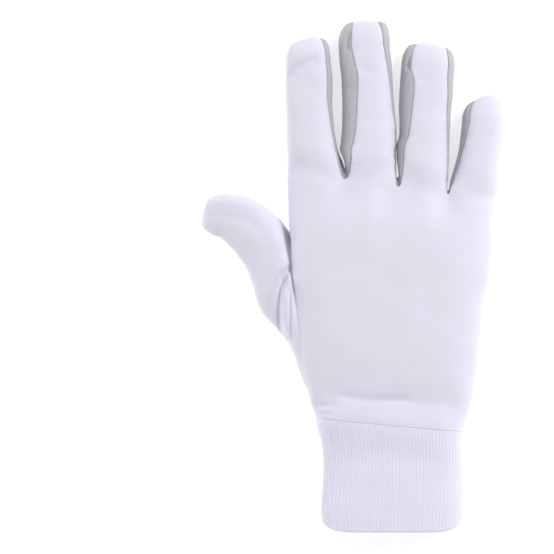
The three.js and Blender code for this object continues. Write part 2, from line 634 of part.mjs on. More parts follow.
function cuffSolid() {
  const points = [];
  const faces = [];
  const outerAngles = evenAngles(2 * RIBS);
  const innerAngles = evenAngles(CUFF_INNER_COLUMNS);
  const addRing = (angles, pointAt) => angles.map((angle, i) => points.push(pointAt(angle, i)) - 1);
  const seamY = (x) => CUFF_SEAM.y - CUFF_SEAM.tilt * (x - CUFF_SEAM.x) - SEAM_GAP / 2;
  const ribDepth = (i) => (i % 2) * RIB_HEIGHT;
  const atSeam = (angle, depth) => {
    const start = cuffPoint(CUFF_SEAM.y, angle, depth);
    const point = cuffPoint(seamY(start.x), angle, depth);
    point.y = seamY(point.x);
    return point;
  };
  // The hem is higher at its two corners
  const withHem = (point, share) => {
    const across = (2 * point.x - CUFF[0].left - CUFF[0].right) / (CUFF[0].right - CUFF[0].left);
    point.y += share * HEM.cornerRise * Math.abs(across) ** HEM.cornerPower;
    return point;
  };
  const outer = [
    addRing(outerAngles, (angle, i) => atSeam(angle, ribDepth(i))),
    ...CUFF_LINES.map((y) => addRing(outerAngles, (angle, i) => {
      const share = y === CUFF_HEM ? 1 : 0;
      return withHem(cuffPoint(y, angle, ribDepth(i)), share);
    })),
    addRing(outerAngles, (angle, i) => {
      const point = cuffPoint(CUFF_BOTTOM, angle, HEM.round / 2 + ribDepth(i));
      point.y = CUFF_BOTTOM + HEM.round / 2;
      return withHem(point, 1);
    }),
  ];
  const inner = [
    addRing(innerAngles, (angle) => {
      const point = cuffPoint(CUFF_BOTTOM, angle, WALL.cuff * HEM.innerShare);
      point.y = CUFF_BOTTOM;
      return withHem(point, 1);
    }),
    addRing(innerAngles, (angle) => withHem(cuffPoint(CUFF_HEM, angle, WALL.cuff), 1)),
    addRing(innerAngles, (angle) => cuffPoint(CUFF_MIDDLE, angle, WALL.cuff)),
    addRing(innerAngles, (angle) => atSeam(angle, WALL.cuff)),
  ];
  const band = (upper, lower) => upper.forEach((a, i) => {
    const j = (i + 1) % upper.length;
    faces.push([a, lower[i], upper[j]], [upper[j], lower[i], lower[j]]);
  });
  // Joins a ring of many points to one of few, with the same share of the many at each of the few
  const fan = (many, few, flip) => few.forEach((hub, i) => {
    const ratio = many.length / few.length;
    const next = few[(i + 1) % few.length];
    const half = ratio / 2;
    for (let k = 0; k < ratio; k += 1) {
      const a = many[(i * ratio + k) % many.length];
      const b = many[(i * ratio + k + 1) % many.length];
      const face = [a, b, k < half ? hub : next];
      faces.push(flip ? face.reverse() : face);
    }
    const face = [many[(i * ratio + half) % many.length], next, hub];
    faces.push(flip ? face.reverse() : face);
  });
  outer.slice(1).forEach((ring, i) => band(ring, outer[i]));
  inner.slice(1).forEach((ring, i) => band(ring, inner[i]));
  fan(outer[outer.length - 1], inner[0], false);
  fan(outer[0], inner[inner.length - 1], true);
  return geometryOf(points, faces);
}

// Each node's cloth: its colour in daylight and its roughness
const CLOTHS = {
  back_panel: { color: 0xe3e1ed, roughness: 0.8 },
  palm_panel: { color: 0xeae8f4, roughness: 0.95 },
  thumb_back: { color: 0xd8d7e2, roughness: 0.82 },
  thumb_front: { color: 0xeae8f4, roughness: 0.95 },
  fourchette: { color: 0xb4b2bb, roughness: 0.78 },
  wrist_cuff: { color: 0xe6e4f1, roughness: 0.92 },
};
const PANEL_WALLS = {
  back_panel: WALL.back,
  palm_panel: WALL.palm,
  thumb_back: WALL.thumb,
  thumb_front: WALL.thumb,
  fourchette: WALL.fourchette,
};

const glove = new THREE.Group();
function addMesh(name, geometry, kind) {
  const mesh = new THREE.Mesh(geometry, new THREE.MeshStandardMaterial({ ...CLOTHS[kind], metalness: 0 }));
  mesh.name = name;
  glove.add(mesh);
}
Object.entries(panels).forEach(([name, faces]) => {
  const kind = name.startsWith('fourchette') ? 'fourchette' : name;
  addMesh(name, clothSolid(faces, PANEL_WALLS[kind]), kind);
});
addMesh('wrist_cuff', cuffSolid(), 'wrist_cuff');

export default glove;
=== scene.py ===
"""A wicketkeeper's inner glove for the right hand, lying palm down.

Shapes are worked out in millimetres, with X across the hand from thumb to little finger, Y from cuff to
fingertips and Z up, and go into their meshes in metres.
"""

import math

import bpy
import numpy as np
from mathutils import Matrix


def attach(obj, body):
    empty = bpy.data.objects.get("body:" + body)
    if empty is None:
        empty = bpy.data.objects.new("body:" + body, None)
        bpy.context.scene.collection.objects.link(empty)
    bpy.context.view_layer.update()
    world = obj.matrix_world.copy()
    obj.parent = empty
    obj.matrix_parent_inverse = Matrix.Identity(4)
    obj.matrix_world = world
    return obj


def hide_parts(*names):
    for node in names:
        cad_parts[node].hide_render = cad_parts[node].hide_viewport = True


bl_info = {
    "name": "Wicketkeeping inner glove",
    "version": (1, 0, 0),
    "blender": (4, 5, 0),
    "location": "3D View > Sidebar > Glove",
    "description": "Makes the cloth, cuff and stitching of a wicketkeeper's inner glove",
    "category": "Object",
}

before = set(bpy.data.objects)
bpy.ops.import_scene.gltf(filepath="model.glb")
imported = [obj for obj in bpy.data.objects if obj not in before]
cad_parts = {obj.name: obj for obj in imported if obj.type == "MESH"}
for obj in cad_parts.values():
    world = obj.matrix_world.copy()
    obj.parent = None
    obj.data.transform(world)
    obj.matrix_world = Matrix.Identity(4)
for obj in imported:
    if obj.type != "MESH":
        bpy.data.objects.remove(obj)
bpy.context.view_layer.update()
MM = 0.001


# Sizes and colours that a user would change

class GloveSizes(bpy.types.PropertyGroup):
    """Thickness of the cloth and size of its seams, ribs and stitches."""
    back_wall: bpy.props.FloatProperty(
        name="Back wall", description="Thickness of the cloth on the back",
        default=0.0012, min=0.0004, max=0.003, unit="LENGTH")
    palm_wall: bpy.props.FloatProperty(
        name="Palm wall", description="Thickness of the padded knit on the palm",
        default=0.0020, min=0.0004, max=0.004, unit="LENGTH")
    palm_fill: bpy.props.FloatProperty(
        name="Palm fill", description="How tightly the palm is padded, from slack to full",
        default=0.2, min=0.0, max=1.0, subtype="FACTOR")
    thumb_wall: bpy.props.FloatProperty(
        name="Thumb wall", description="Thickness of the cloth of the thumb",
        default=0.0015, min=0.0004, max=0.003, unit="LENGTH")
    strip_wall: bpy.props.FloatProperty(
        name="Strip wall", description="Thickness of the gray strips between the fingers",
        default=0.0010, min=0.0004, max=0.003, unit="LENGTH")
    cuff_wall: bpy.props.FloatProperty(
        name="Cuff wall", description="Thickness of the ribbed cuff",
        default=0.0026, min=0.001, max=0.005, unit="LENGTH")
    seam_depth: bpy.props.FloatProperty(
        name="Seam depth", description="How far the cloth dips at a seam",
        default=0.00038, min=0.0, max=0.002, unit="LENGTH")
    pucker: bpy.props.FloatProperty(
        name="Pucker", description="Height of the small gathers beside a seam",
        default=0.00022, min=0.0, max=0.001, unit="LENGTH")
    rib_height: bpy.props.FloatProperty(
        name="Rib height", description="Height of the cuff's ribs",
        default=0.00036, min=0.0, max=0.001, unit="LENGTH")
    stitch_length: bpy.props.FloatProperty(
        name="Stitch length", description="Length of a visible stitch along its seam",
        default=0.0009, min=0.0005, max=0.004, unit="LENGTH")
    thread: bpy.props.FloatProperty(
        name="Thread", description="Thickness of the sewing thread",
        default=0.00030, min=0.0001, max=0.001, unit="LENGTH")


class GloveColours(bpy.types.PropertyGroup):
    """Colours of the cloths, the thread and the floor."""
    back: bpy.props.FloatVectorProperty(
        name="Back", description="Smooth cloth on the back of the hand",
        subtype="COLOR", size=3, min=0, max=1, default=(0.745, 0.733, 0.825))
    palm: bpy.props.FloatVectorProperty(
        name="Palm", description="Padded cotton knit of the palm",
        subtype="COLOR", size=3, min=0, max=1, default=(0.80, 0.79, 0.87))
    strip: bpy.props.FloatVectorProperty(
        name="Strips", description="Gray cloth between the fingers",
        subtype="COLOR", size=3, min=0, max=1, default=(0.50, 0.49, 0.525))
    cuff: bpy.props.FloatVectorProperty(
        name="Cuff", description="Rib knit of the cuff",
        subtype="COLOR", size=3, min=0, max=1, default=(0.795, 0.785, 0.90))
    thread: bpy.props.FloatVectorProperty(
        name="Thread", description="Sewing thread",
        subtype="COLOR", size=3, min=0, max=1, default=(0.74, 0.73, 0.79))
    floor: bpy.props.FloatVectorProperty(
        name="Floor", description="Plain floor under the glove",
        subtype="COLOR", size=3, min=0, max=1, default=(0.94, 0.94, 0.95))


# Shape of the glove: how square the sections are, the height of their widest level as a share of the whole,
# and how far they would reach below the ground if it didn't press them flat
BACK_ROUNDNESS = 2.5
PALM_ROUNDNESS = 3.3
FINGER_BACK_ROUNDNESS = 2.3
FINGER_PALM_ROUNDNESS = 3.0
WIDEST_SHARE = 0.43
PRESSED_DEPTH = 1.0

# The side seams' angle below the widest level, and the hole that the thumb is sewn into: how far its upper
# edge rises round the hand's section, by what power of a sine, and the thumb's height there
SIDE_SEAM_ANGLE = math.radians(12)
THUMB_HOLE = {"rise": math.radians(28), "power": 0.6, "top": 10}

# The line where the fingers part: its place and tilt, how far past it the fingers' own shapes, the round
# bottoms of the gaps and the heights there take over, how far the painted shade at a gap's bottom reaches,
# and how far a gap counts as narrow
WEB = {"y": 44.6, "x": 20, "tilt": 0.1456, "blend": 15, "round": 3.4, "round_share": 0.34, "side_power": 1.6,
       "height": 10, "painted_shade": 9, "narrow": 5}

# How far each gray strip's bottom bulges towards the fingertips, and the rows close to the web line
WEB_BULGE = [5.8, 6.2, 2.6]
WEB_ROWS = [0, 0.12, 0.36, 0.7]
FIRST_ROW = 1.15
WEB_POINTS = np.array([-4.25, 22.25, 47.25])

# The valley between two fingers that runs out on the hand: its depth in the back, its rise in the palm, how
# far along the hand and round it it reaches, and how much sooner it runs out in the palm
WEB_VALLEY = {"depth": 5.0, "rise": 2.4, "length": 26, "angle": 0.2, "palm_power": 4}

# The cuff's seam, and how far above it folds and waves begin. Above it the back puffs up and has a crease.
CUFF_SEAM = {"y": -74.5, "x": 20, "tilt": 0.09, "fade": 4}
TILT_FROM = -20
PUFF = {"y": -75.5, "width": 7.5, "height": 2.2, "steep": 1.6, "on_cuff": 17}
CREASE = {"y": -61.8, "depth": 0.5, "width": 2.2, "from": -12, "fade_in": 12, "to": 52, "fade_out": 40}


def table(columns, rows):
    """Names the columns of a table of numbers."""
    return dict(zip(columns.split(), np.array(rows, float).T))


# The hand: edges and height, read where its tilted lines cross them
HAND = table("y left right top", [
    [-80, -15.9, 54.9, 24.4],
    [-76, -16.5, 55.3, 24.8],
    [-71, -18.4, 56.6, 25.6],
    [-62, -21.7, 59.3, 26.4],
    [-50, -24.7, 61.2, 27.2],
    [-37, -26.4, 62.7, 27.8],
    [-12, -29.3, 65.1, 27.6],
    [3, -30.6, 68.7, 27.0],
    [17, -31.3, 69.7, 25.8],
    [30, -31.8, 69.6, 24.0],
    [42, -32.3, 71.9, 21.8],
    [58, -32.8, 73.6, 19.6],
    [72, -32.8, 74.2, 17.8],
])

# Lines across the hand. The thumb's hole lies between two of them.
HAND_LINES = np.array([-74.5, -71.5, -68, -64.8, -62.6, -60.6, -58.4, -54, -47, -38, -29, -20, -11, -3, 5,
                       13.2, 20, 27, 33, 38.5, 42.2, 44.6])
THUMB_FROM_LINE = 3
THUMB_TO_LINE = 15

# The curved seam between the palm and the thumb
THUMB_SEAM = table("y x", [
    [-60, -20],
    [-52, -15.5],
    [-40, -11.5],
    [-22, -10],
    [-6, -15],
    [6, -22],
    [18, -30],
])
THUMB_SEAM_SHARE = 0.7

# The fingers: edges and height, the tip, which bows out and is skewed, and how far in from each edge the seam
# of a gray strip lies
FINGERS = [
    {
        "name": "index",
        "edges": table("y left right top", [
            [50, -32.5, -4.2, 20.4],
            [57, -32.8, -5.9, 19.4],
            [66, -32.8, -8.0, 18.2],
            [74, -32.8, -9.3, 17.4],
            [86, -33.3, -10.2, 16.4],
            [98, -33.4, -9.8, 15.4],
            [106, -33.5, -10.8, 14.6],
        ]),
        "tip": {"from": 106, "y": 117.6, "left": -26.2, "right": -14.4, "bow": 1.6, "skew": 0.5,
                "left_inset": 0, "right_inset": 2.2},
        "left_seam": None,
        "right_seam": table("y inset", [[52, 1.1], [62, 0.9], [74, 1.2], [84, 1.9], [95, 2.6], [106, 2.3]]),
    },
    {
        "name": "middle",
        "edges": table("y left right top", [
            [50, -3.9, 21.8, 20.4],
            [57, -5.5, 21.6, 19.4],
            [62, -6.5, 21.4, 18.8],
            [66, -5.9, 21.7, 18.4],
            [74, -5.3, 21.7, 17.6],
            [82, -5.2, 20.8, 17.0],
            [98, -5.7, 19.8, 16.0],
            [106, -6.7, 19.3, 15.5],
            [115, -7.2, 18.8, 14.8],
        ]),
        "tip": {"from": 115, "y": 126.2, "left": -0.6, "right": 15.6, "bow": 1.6, "skew": -0.1,
                "left_inset": 1.0, "right_inset": 3.8},
        "left_seam": table("y inset", [[49, 2.0], [52, 2.8], [57.5, 4.6], [64.5, 5.8], [73, 6.5], [83, 7.0],
                                       [93, 7.7], [102, 7.9], [109, 7.1], [115, 6.3]]),
        "right_seam": table("y inset", [[52, 0.4], [75, 0.6], [88, 0.8], [97, 1.4], [110, 2.8], [115, 3.5]]),
    },
    {
        "name": "ring",
        "edges": table("y left right top", [
            [43, 22.5, 47.0, 20.4],
            [50, 22.2, 47.4, 19.8],
            [57, 22.0, 47.9, 18.9],
            [62, 21.9, 48.2, 18.3],
            [66, 22.2, 48.3, 17.9],
            [69, 23.1, 48.5, 17.6],
            [74, 23.3, 48.8, 17.2],
            [82, 23.2, 49.3, 16.6],
            [90, 23.3, 50.3, 16.0],
            [98, 23.8, 50.7, 15.4],
            [105, 24.2, 51.2, 14.8],
        ]),
        "tip": {"from": 104.5, "y": 114.4, "left": 29.3, "right": 46.2, "bow": 1.9, "skew": -0.9,
                "left_inset": 3.0, "right_inset": 0.5},
        "left_seam": table("y inset", [[45, 1.6], [54.5, 2.8], [63, 3.4], [72, 4.6], [81, 5.9], [90, 6.8],
                                       [96, 6.7], [100, 5.5], [103, 4.6], [105, 4.6]]),
        "right_seam": table("y inset", [[48, 0.6], [56, 0.6], [64, 1.0], [75, 1.8], [86, 2.7], [97, 3.4],
                                        [105, 3.5]]),
    },
    {
        "name": "little",
        "edges": table("y left right top", [
            [41, 47.4, 71.8, 19.4],
            [47, 48.9, 72.6, 18.2],
            [54, 50.8, 73.2, 17.2],
            [62, 52.7, 73.8, 16.2],
            [70, 53.7, 75.2, 15.2],
            [76, 54.2, 75.7, 14.4],
        ]),
        "tip": {"from": 76, "y": 87.8, "left": 62.0, "right": 73.2, "bow": 2.6, "skew": 0.6,
                "left_inset": 0, "right_inset": 0},
        "left_seam": table("y inset", [[44, 0.9], [54, 1.2], [62, 1.6], [70, 2.7], [76, 3.5]]),
        "right_seam": None,
    },
]
PALM_SEAM_INSET = 3.4

# The thumb's rings: inner and outer end, height, and how far the shape is the ring's own and not the hole's
THUMB = table("row inner_x inner_y outer_x outer_y top own", [
    [1, -32.6, 23.2, -25.8, -49.0, 18.0, 0.3],
    [2, -35.2, 26.8, -31.0, -35.6, 20.0, 0.55],
    [3, -39.0, 30.6, -38.3, -26.4, 19.0, 0.8],
    [4, -43.2, 34.3, -45.8, -17.8, 17.6, 0.94],
    [5, -47.4, 37.1, -49.6, -6.6, 17.0, 1],
    [6, -52.0, 39.1, -53.6, 4.0, 16.8, 1],
    [7, -56.8, 40.4, -60.4, 13.4, 16.6, 1],
    [8, -61.5, 40.8, -66.6, 19.0, 16.2, 1],
])
THUMB_TIP = {"x": -74.7, "y": 31.6, "flat": 0.27}

# The thumb's back: roundness of its two halves, how far its top leans inwards, and how its rows are spread
THUMB_ROUNDNESS = {"inner": 2.3, "outer": 1.75}
THUMB_LEAN = 0.45
THUMB_ROW_POWER = 1.35

# The cuff: edges and height, the section that its ribs are counted on, its top edge, which dips under the
# hand's cloth, and its hem, which is rounded and rises at its two corners
CUFF = table("y left right top", [
    [-126, -15.4, 54.4, 19.6],
    [-120, -16.0, 55.0, 20.4],
    [-110, -15.4, 55.3, 21.4],
    [-96, -14.8, 55.3, 22.6],
    [-86, -15.2, 54.9, 23.6],
    [-74, -16.6, 55.4, 24.6],
])
CUFF_MIDDLE = -98
CUFF_BOTTOM = -127.7
TUCK = {"length": 0.5, "depth": 0.05}
HEM = {"round": 1.6, "corner_rise": 4.5, "corner_power": 8, "from": -116, "over": 9.5}

# The tongue of the cuff under the hand's cloth: heights above the seam, and depths of its outer side
TONGUE = {"shoulder": 1.6, "reach": 1.9, "depth": 1.35, "foot": 0.6, "foot_depth": 1.3}

# Ribs: steps across one, least and greatest share of the height, how far below the seam they are full, and
# the angle round the cuff where they are highest, with its width and the height elsewhere
RIBS = 96
RIB = {"steps": 8, "shares": (0.75, 1.2), "grow": 1.6, "at": 2.5, "width": 0.9, "elsewhere": 0.45}
LEAN = {"at": 2.7, "width": 0.75, "elsewhere": 0.15, "fade": 8}

# Slow leans of the ribs: how far they go, the level where they begin, and over what length
LEANS = [(1.5, -92, 30), (0.9, -72, 12)]

# Dents in the cuff's back: depth, place and width across, place and width along
DENTS = [
    (0.8, -12.7, 2.6, -83, 2.6),
    (0.5, -2, 14, -92.5, 3.8),
    (0.25, 30, 16, -105, 5),
]

# Stitched seams: finger number, and whether it is the finger's left seam
STITCHED_SEAMS = [(0, False), (1, True), (1, False), (2, True), (2, False), (3, True)]

# Stitches: rows from one to the next, the grid column where each starts and how many it goes over, how far it
# arches up and its ends sink in, in thread radii, and the rings along it
STITCH = {"every": 2, "from": 0.15, "columns": 3.2, "arch": 1.5, "sunk": 0.4, "rings": 6}

# The cloth at a seam: width of the dip; size, start and end of the gathers; size, share, place and width of
# the small gathers at the stitches; where a fold begins; and how dark the painted shade along the seam is,
# over what width
SEAM = {"dip": 0.75, "gather": 5.0, "gather_from": 1.2, "gather_to": 3.0, "small": 2.4, "small_share": 0.45,
        "small_at": 0.9, "small_width": 0.7, "fold_from": 0.9, "painted_shade": 0.6, "painted_shade_width": 0.6}

# The seam between the thumb and the back counts as further off, within its width, so that it shows less
SOFT_SEAM = {"flatter": 2.0, "width": 6}

# Soft waves of the whole cloth: height, size, seed, and distance from a seam where they are full
SOFT_WAVES = [(0.22, 34, 11, 10), (0.07, 13, 12, 6)]

# Evening out of the skin: weight of each round, then place, width and rounds at the web line and at the
# thumb. Where the hollow is narrow the wall is thinner by a share, and inside it stays above the ground.
EVENING = {"weight": 0.5, "above_web": 1, "web_width": 6, "seam": 0.7, "seam_fade": 1.5, "web_rounds": 40,
           "thumb_top": 23, "thumb_fade": 8, "thumb_height": 10, "thumb_rounds": 120}
THINNER = 0.7
LOWEST_INSIDE = 0.05

# Distance from a seam that the cuff's cloth is given, as it has none
FAR_FROM_SEAM = 20.0

# Cloths: size of a wale and of a course, height of the knit, roughness and sheen
CLOTHS = {
    name: {"wales": wales, "courses": courses, "relief": relief, "roughness": roughness, "sheen": sheen}
    for name, wales, courses, relief, roughness, sheen in (
        ("Back cloth", 0.0007, 0.0009, 0.00004, 0.62, 0.25),
        ("Thumb cloth", 0.0007, 0.0009, 0.00004, 0.66, 0.25),
        ("Palm knit", 0.0012, 0.0009, 0.00012, 0.9, 0.3),
        ("Thumb knit", 0.0012, 0.0009, 0.00012, 0.9, 0.3),
        ("Gray cloth", 0.0006, 0.0008, 0.00004, 0.6, 0.2),
        ("Rib knit", 0.00085, 0.0007, 0.00006, 0.88, 0.3))
}
MOTTLE = 0.03
THREAD_TWIST = 0.0002

# The stage, in metres and watts
FLOOR = {"half": 3.0, "glow": 0.45}
STUDIO = {"Color": (0.96, 0.97, 1.0, 1), "Strength": 0.58}
LIGHTS = [
    {"name": "Key", "place": (1.5, 1.0, 1.6), "size": 0.9, "power": 33.5},
    {"name": "Left", "place": (-1.35, -0.1, 0.32), "size": 0.4, "power": 5.0},
]
VIEW = {"x": -0.03775, "y": -0.00075, "width": 0.277, "height": 2.5, "sensor": 36, "reach": 20}

# Divisions of the fine grids, in columns, millimetres and rows, and how their rows and columns are spread
FINGER_COLUMNS = 34
SIDE_COLUMNS = 14
LINE_SPACING = 0.8
HAND_SPACING = 0.62
TIP_ROWS = 12
THUMB_ROW_STEPS = 15
CUFF_ROWS = 60
CUFF_ROW_POWER = 1.15
INSIDE_STEP = 4
CLOSER_AT_SEAMS = 0.11

# Points closer than one part in WELD_STEPS of a millimetre are one, and distances are found BLOCK at a time
WELD_STEPS = 1e4
BLOCK = 4000


def smooth(t):
    """Rises from 0 to 1 with level ends."""
    t = np.clip(t, 0.0, 1.0)
    return t * t * (3.0 - 2.0 * t)


def mix(a, b, t):
    """Goes from a to b as t goes from 0 to 1."""
    return a + (b - a) * t


def bell(t):
    """1 at 0, and falls to nothing on both sides: e to the power of minus t squared."""
    return np.exp(-t * t)


def read(rows, at, column, along="y"):
    """Smooth curve through a table's column: between two rows it is the cubic whose slope at each row
    is that of the line between the rows on either side of it."""
    keys = rows[along]
    values = rows[column]
    last = len(keys) - 1
    at = np.clip(at, keys[0], keys[-1])
    i = np.clip(np.searchsorted(keys, at, side="left") - 1, 0, last - 1)
    lower = np.maximum(i - 1, 0)
    upper = np.minimum(i + 2, last)
    span = keys[i + 1] - keys[i]
    t = (at - keys[i]) / span
    before = (values[i + 1] - values[lower]) / (keys[i + 1] - keys[lower]) * span
    after = (values[upper] - values[i]) / (keys[upper] - keys[i]) * span
    return (values[i] * (1 + 2 * t) * (1 - t) ** 2 + before * t * (1 - t) ** 2
            + values[i + 1] * t * t * (3 - 2 * t) + after * t * t * (t - 1))


def superellipse(angle, upper, lower):
    """Unit section: across is |cos| and up is |sin| of the angle, each to the power 2 / roundness, with
    their signs kept."""
    roundness = np.where(np.sin(angle) >= 0, upper, lower)
    across = np.sign(np.cos(angle)) * np.abs(np.cos(angle)) ** (2 / roundness)
    up = np.sign(np.sin(angle)) * np.abs(np.sin(angle)) ** (2 / roundness)
    return across, up


def section_height(up, top, swell=1.0):
    """Height of a section's point: from the widest level up to the top, or down to below the ground,
    where it is pressed flat."""
    widest = top * WIDEST_SHARE
    reach = np.where(up >= 0, top - widest, widest + PRESSED_DEPTH)
    return np.maximum(0.0, widest + reach * up * swell)


def hand_tilt(line):
    """Tilt of a line across the hand: that of the cuff's seam at the cuff, and that of the web line there."""
    return mix(CUFF_SEAM["tilt"], WEB["tilt"], smooth((line - TILT_FROM) / (WEB["y"] - TILT_FROM)))


def hand_edge(line, column):
    """The hand's left or right edge where a tilted line crosses it."""
    nearby = read(HAND, line, column)
    return read(HAND, line - hand_tilt(line) * (nearby - WEB["x"]), column)


def web_angle(x, roundness):
    """The angle at which the hand's section on the web line has the given x."""
    left = hand_edge(WEB["y"], "left")
    right = hand_edge(WEB["y"], "right")
    across = (2 * x - left - right) / (right - left)
    return np.arccos(np.sign(across) * np.abs(across) ** (roundness / 2))


BACK_WEBS = web_angle(WEB_POINTS, BACK_ROUNDNESS)
PALM_WEBS = -web_angle(WEB_POINTS, PALM_ROUNDNESS)
BACK_CELLS = np.array([math.pi + SIDE_SEAM_ANGLE, *BACK_WEBS, -SIDE_SEAM_ANGLE])
PALM_CELLS = np.array([SIDE_SEAM_ANGLE - math.pi, *PALM_WEBS, -SIDE_SEAM_ANGLE])


def hand_point(line, angle):
    """The hand: a rounded section on a tilted line across it. Its height dips in a valley below each web
    and in the crease above the cuff, and the back puffs up over the cuff's seam."""
    line, angle = np.broadcast_arrays(line, angle)
    left = hand_edge(line, "left")
    right = hand_edge(line, "right")
    across, up = superellipse(angle, BACK_ROUNDNESS, PALM_ROUNDNESS)
    x = (left + right) / 2 + across * (right - left) / 2
    y = line - hand_tilt(line) * (x - WEB["x"])
    z = section_height(up, read(HAND, y, "top"))
    near = smooth((line - WEB["y"] + WEB_VALLEY["length"]) / WEB_VALLEY["length"]) ** 2
    back_valley = sum(bell((angle - web) / WEB_VALLEY["angle"]) for web in BACK_WEBS)
    palm_valley = sum(bell((angle - web) / WEB_VALLEY["angle"]) for web in PALM_WEBS)
    z = z + np.where(up >= 0, -WEB_VALLEY["depth"] * near * back_valley,
                     WEB_VALLEY["rise"] * near ** WEB_VALLEY["palm_power"] * palm_valley)
    along = smooth((x - CREASE["from"]) / CREASE["fade_in"]) * smooth((CREASE["to"] - x) / CREASE["fade_out"])
    z = z - (up > 0) * CREASE["depth"] * along * bell((line - CREASE["y"]) / CREASE["width"])
    z = z + smooth(PUFF["steep"] * up) * PUFF["height"] * bell((line - PUFF["y"]) / PUFF["width"])
    return np.stack([x, y, z], -1)


def palm_left_angles():
    """Angle of the palm's left edge at each of the hand's lines: the side seam, or the thumb's seam."""
    lines = HAND_LINES
    left = hand_edge(lines, "left")
    right = hand_edge(lines, "right")
    seam_y = lines - hand_tilt(lines) * (left - WEB["x"]) * THUMB_SEAM_SHARE
    across = np.clip((left + right - 2 * read(THUMB_SEAM, seam_y, "x")) / (right - left), 0, 1)
    seam = -math.pi + np.arccos(across ** (PALM_ROUNDNESS / 2))
    number = np.arange(len(lines))
    joined = (number > THUMB_FROM_LINE) & (number < THUMB_TO_LINE)
    return np.where(joined, np.maximum(PALM_CELLS[0], seam), PALM_CELLS[0])


LINES = {"row": np.arange(len(HAND_LINES), dtype=float), "y": HAND_LINES, "palm_left": palm_left_angles()}


def hand_rows():
    """Fractional line numbers, with each interval between two lines cut into steps of about HAND_SPACING."""
    parts = []
    for i, gap in enumerate(np.diff(HAND_LINES)):
        count = max(2, round(gap / HAND_SPACING))
        parts.append(i + np.arange(count) / count)
    return np.concatenate([*parts, [len(HAND_LINES) - 1]])


def seam_angle(inset, half, roundness):
    """The angle at which a finger's section lies an inset in from its edge."""
    return np.arccos(np.clip(1 - inset / half, -1, 1) ** (roundness / 2))


def finger_section(finger, y, tip_angle):
    """Edges, height and seam angles of a finger's sections. Past the start of the tip, the edges close
    in by the cosine of the tip angle, and a seam's inset goes to the one that it keeps at the tip's end,
    where the strip lies folded on itself."""
    tip = finger["tip"]
    swell = np.cos(tip_angle)
    at = np.minimum(y, tip["from"])
    left = mix(tip["left"], read(finger["edges"], at, "left"), swell)
    right = mix(tip["right"], read(finger["edges"], at, "right"), swell)
    half = (right - left) / 2
    lower = mix(FINGER_BACK_ROUNDNESS, FINGER_PALM_ROUNDNESS, swell)

    def angles(side):
        """Angles of the seams on the back and on the palm, or of the plain wrap where there is no strip."""
        seam = finger[side + "_seam"]
        if seam is None:
            return -SIDE_SEAM_ANGLE * swell, SIDE_SEAM_ANGLE * swell
        kept = tip[side + "_inset"]
        return (seam_angle(mix(kept, read(seam, at, "inset"), swell), half, FINGER_BACK_ROUNDNESS),
                seam_angle(mix(kept, PALM_SEAM_INSET, swell), half, lower))

    back_right, palm_right = angles("right")
    back_left, palm_left = angles("left")
    return {"y": y, "left": left, "right": right, "swell": swell, "lower": lower, "tip": tip,
            "top": read(finger["edges"], at, "top"),
            "back": (math.pi - back_left, back_right), "palm": (palm_left - math.pi, -palm_right)}


def finger_point(section, tilt, middle_x, angle):
    """A finger: a rounded section on a tilted line, with a bowed and skewed tip."""
    across, up = superellipse(angle, FINGER_BACK_ROUNDNESS, section["lower"])
    x = mix(section["left"], section["right"], (across + 1) / 2)
    rounding = section["tip"]["skew"] * across + section["tip"]["bow"] * (1 - across ** 2)
    y = section["y"] - tilt * (x - middle_x) + (1 - section["swell"]) * rounding
    return np.stack(np.broadcast_arrays(x, y, section_height(up, section["top"], section["swell"])), -1)


def spread(count):
    """Numbers from 0 to 1 that lie closer together near both ends, where the seams are."""
    even = np.linspace(0, 1, count + 1)
    return even - CLOSER_AT_SEAMS * np.sin(2 * math.pi * even)


def across_cells(cells, first=None):
    """Angles across the hand, with the same steps in each finger's share: one row for each value of first."""
    share = spread(FINGER_COLUMNS)
    left = cells[0] if first is None else first
    parts = [mix(left, cells[1], share)[..., :-1]]
    rows = np.shape(parts[0])[:-1]
    for f in range(1, len(FINGERS)):
        part = mix(cells[f], cells[f + 1], share)
        part = part if f == len(FINGERS) - 1 else part[:-1]
        parts.append(np.broadcast_to(part, (*rows, len(part))))
    return np.concatenate(parts, -1)


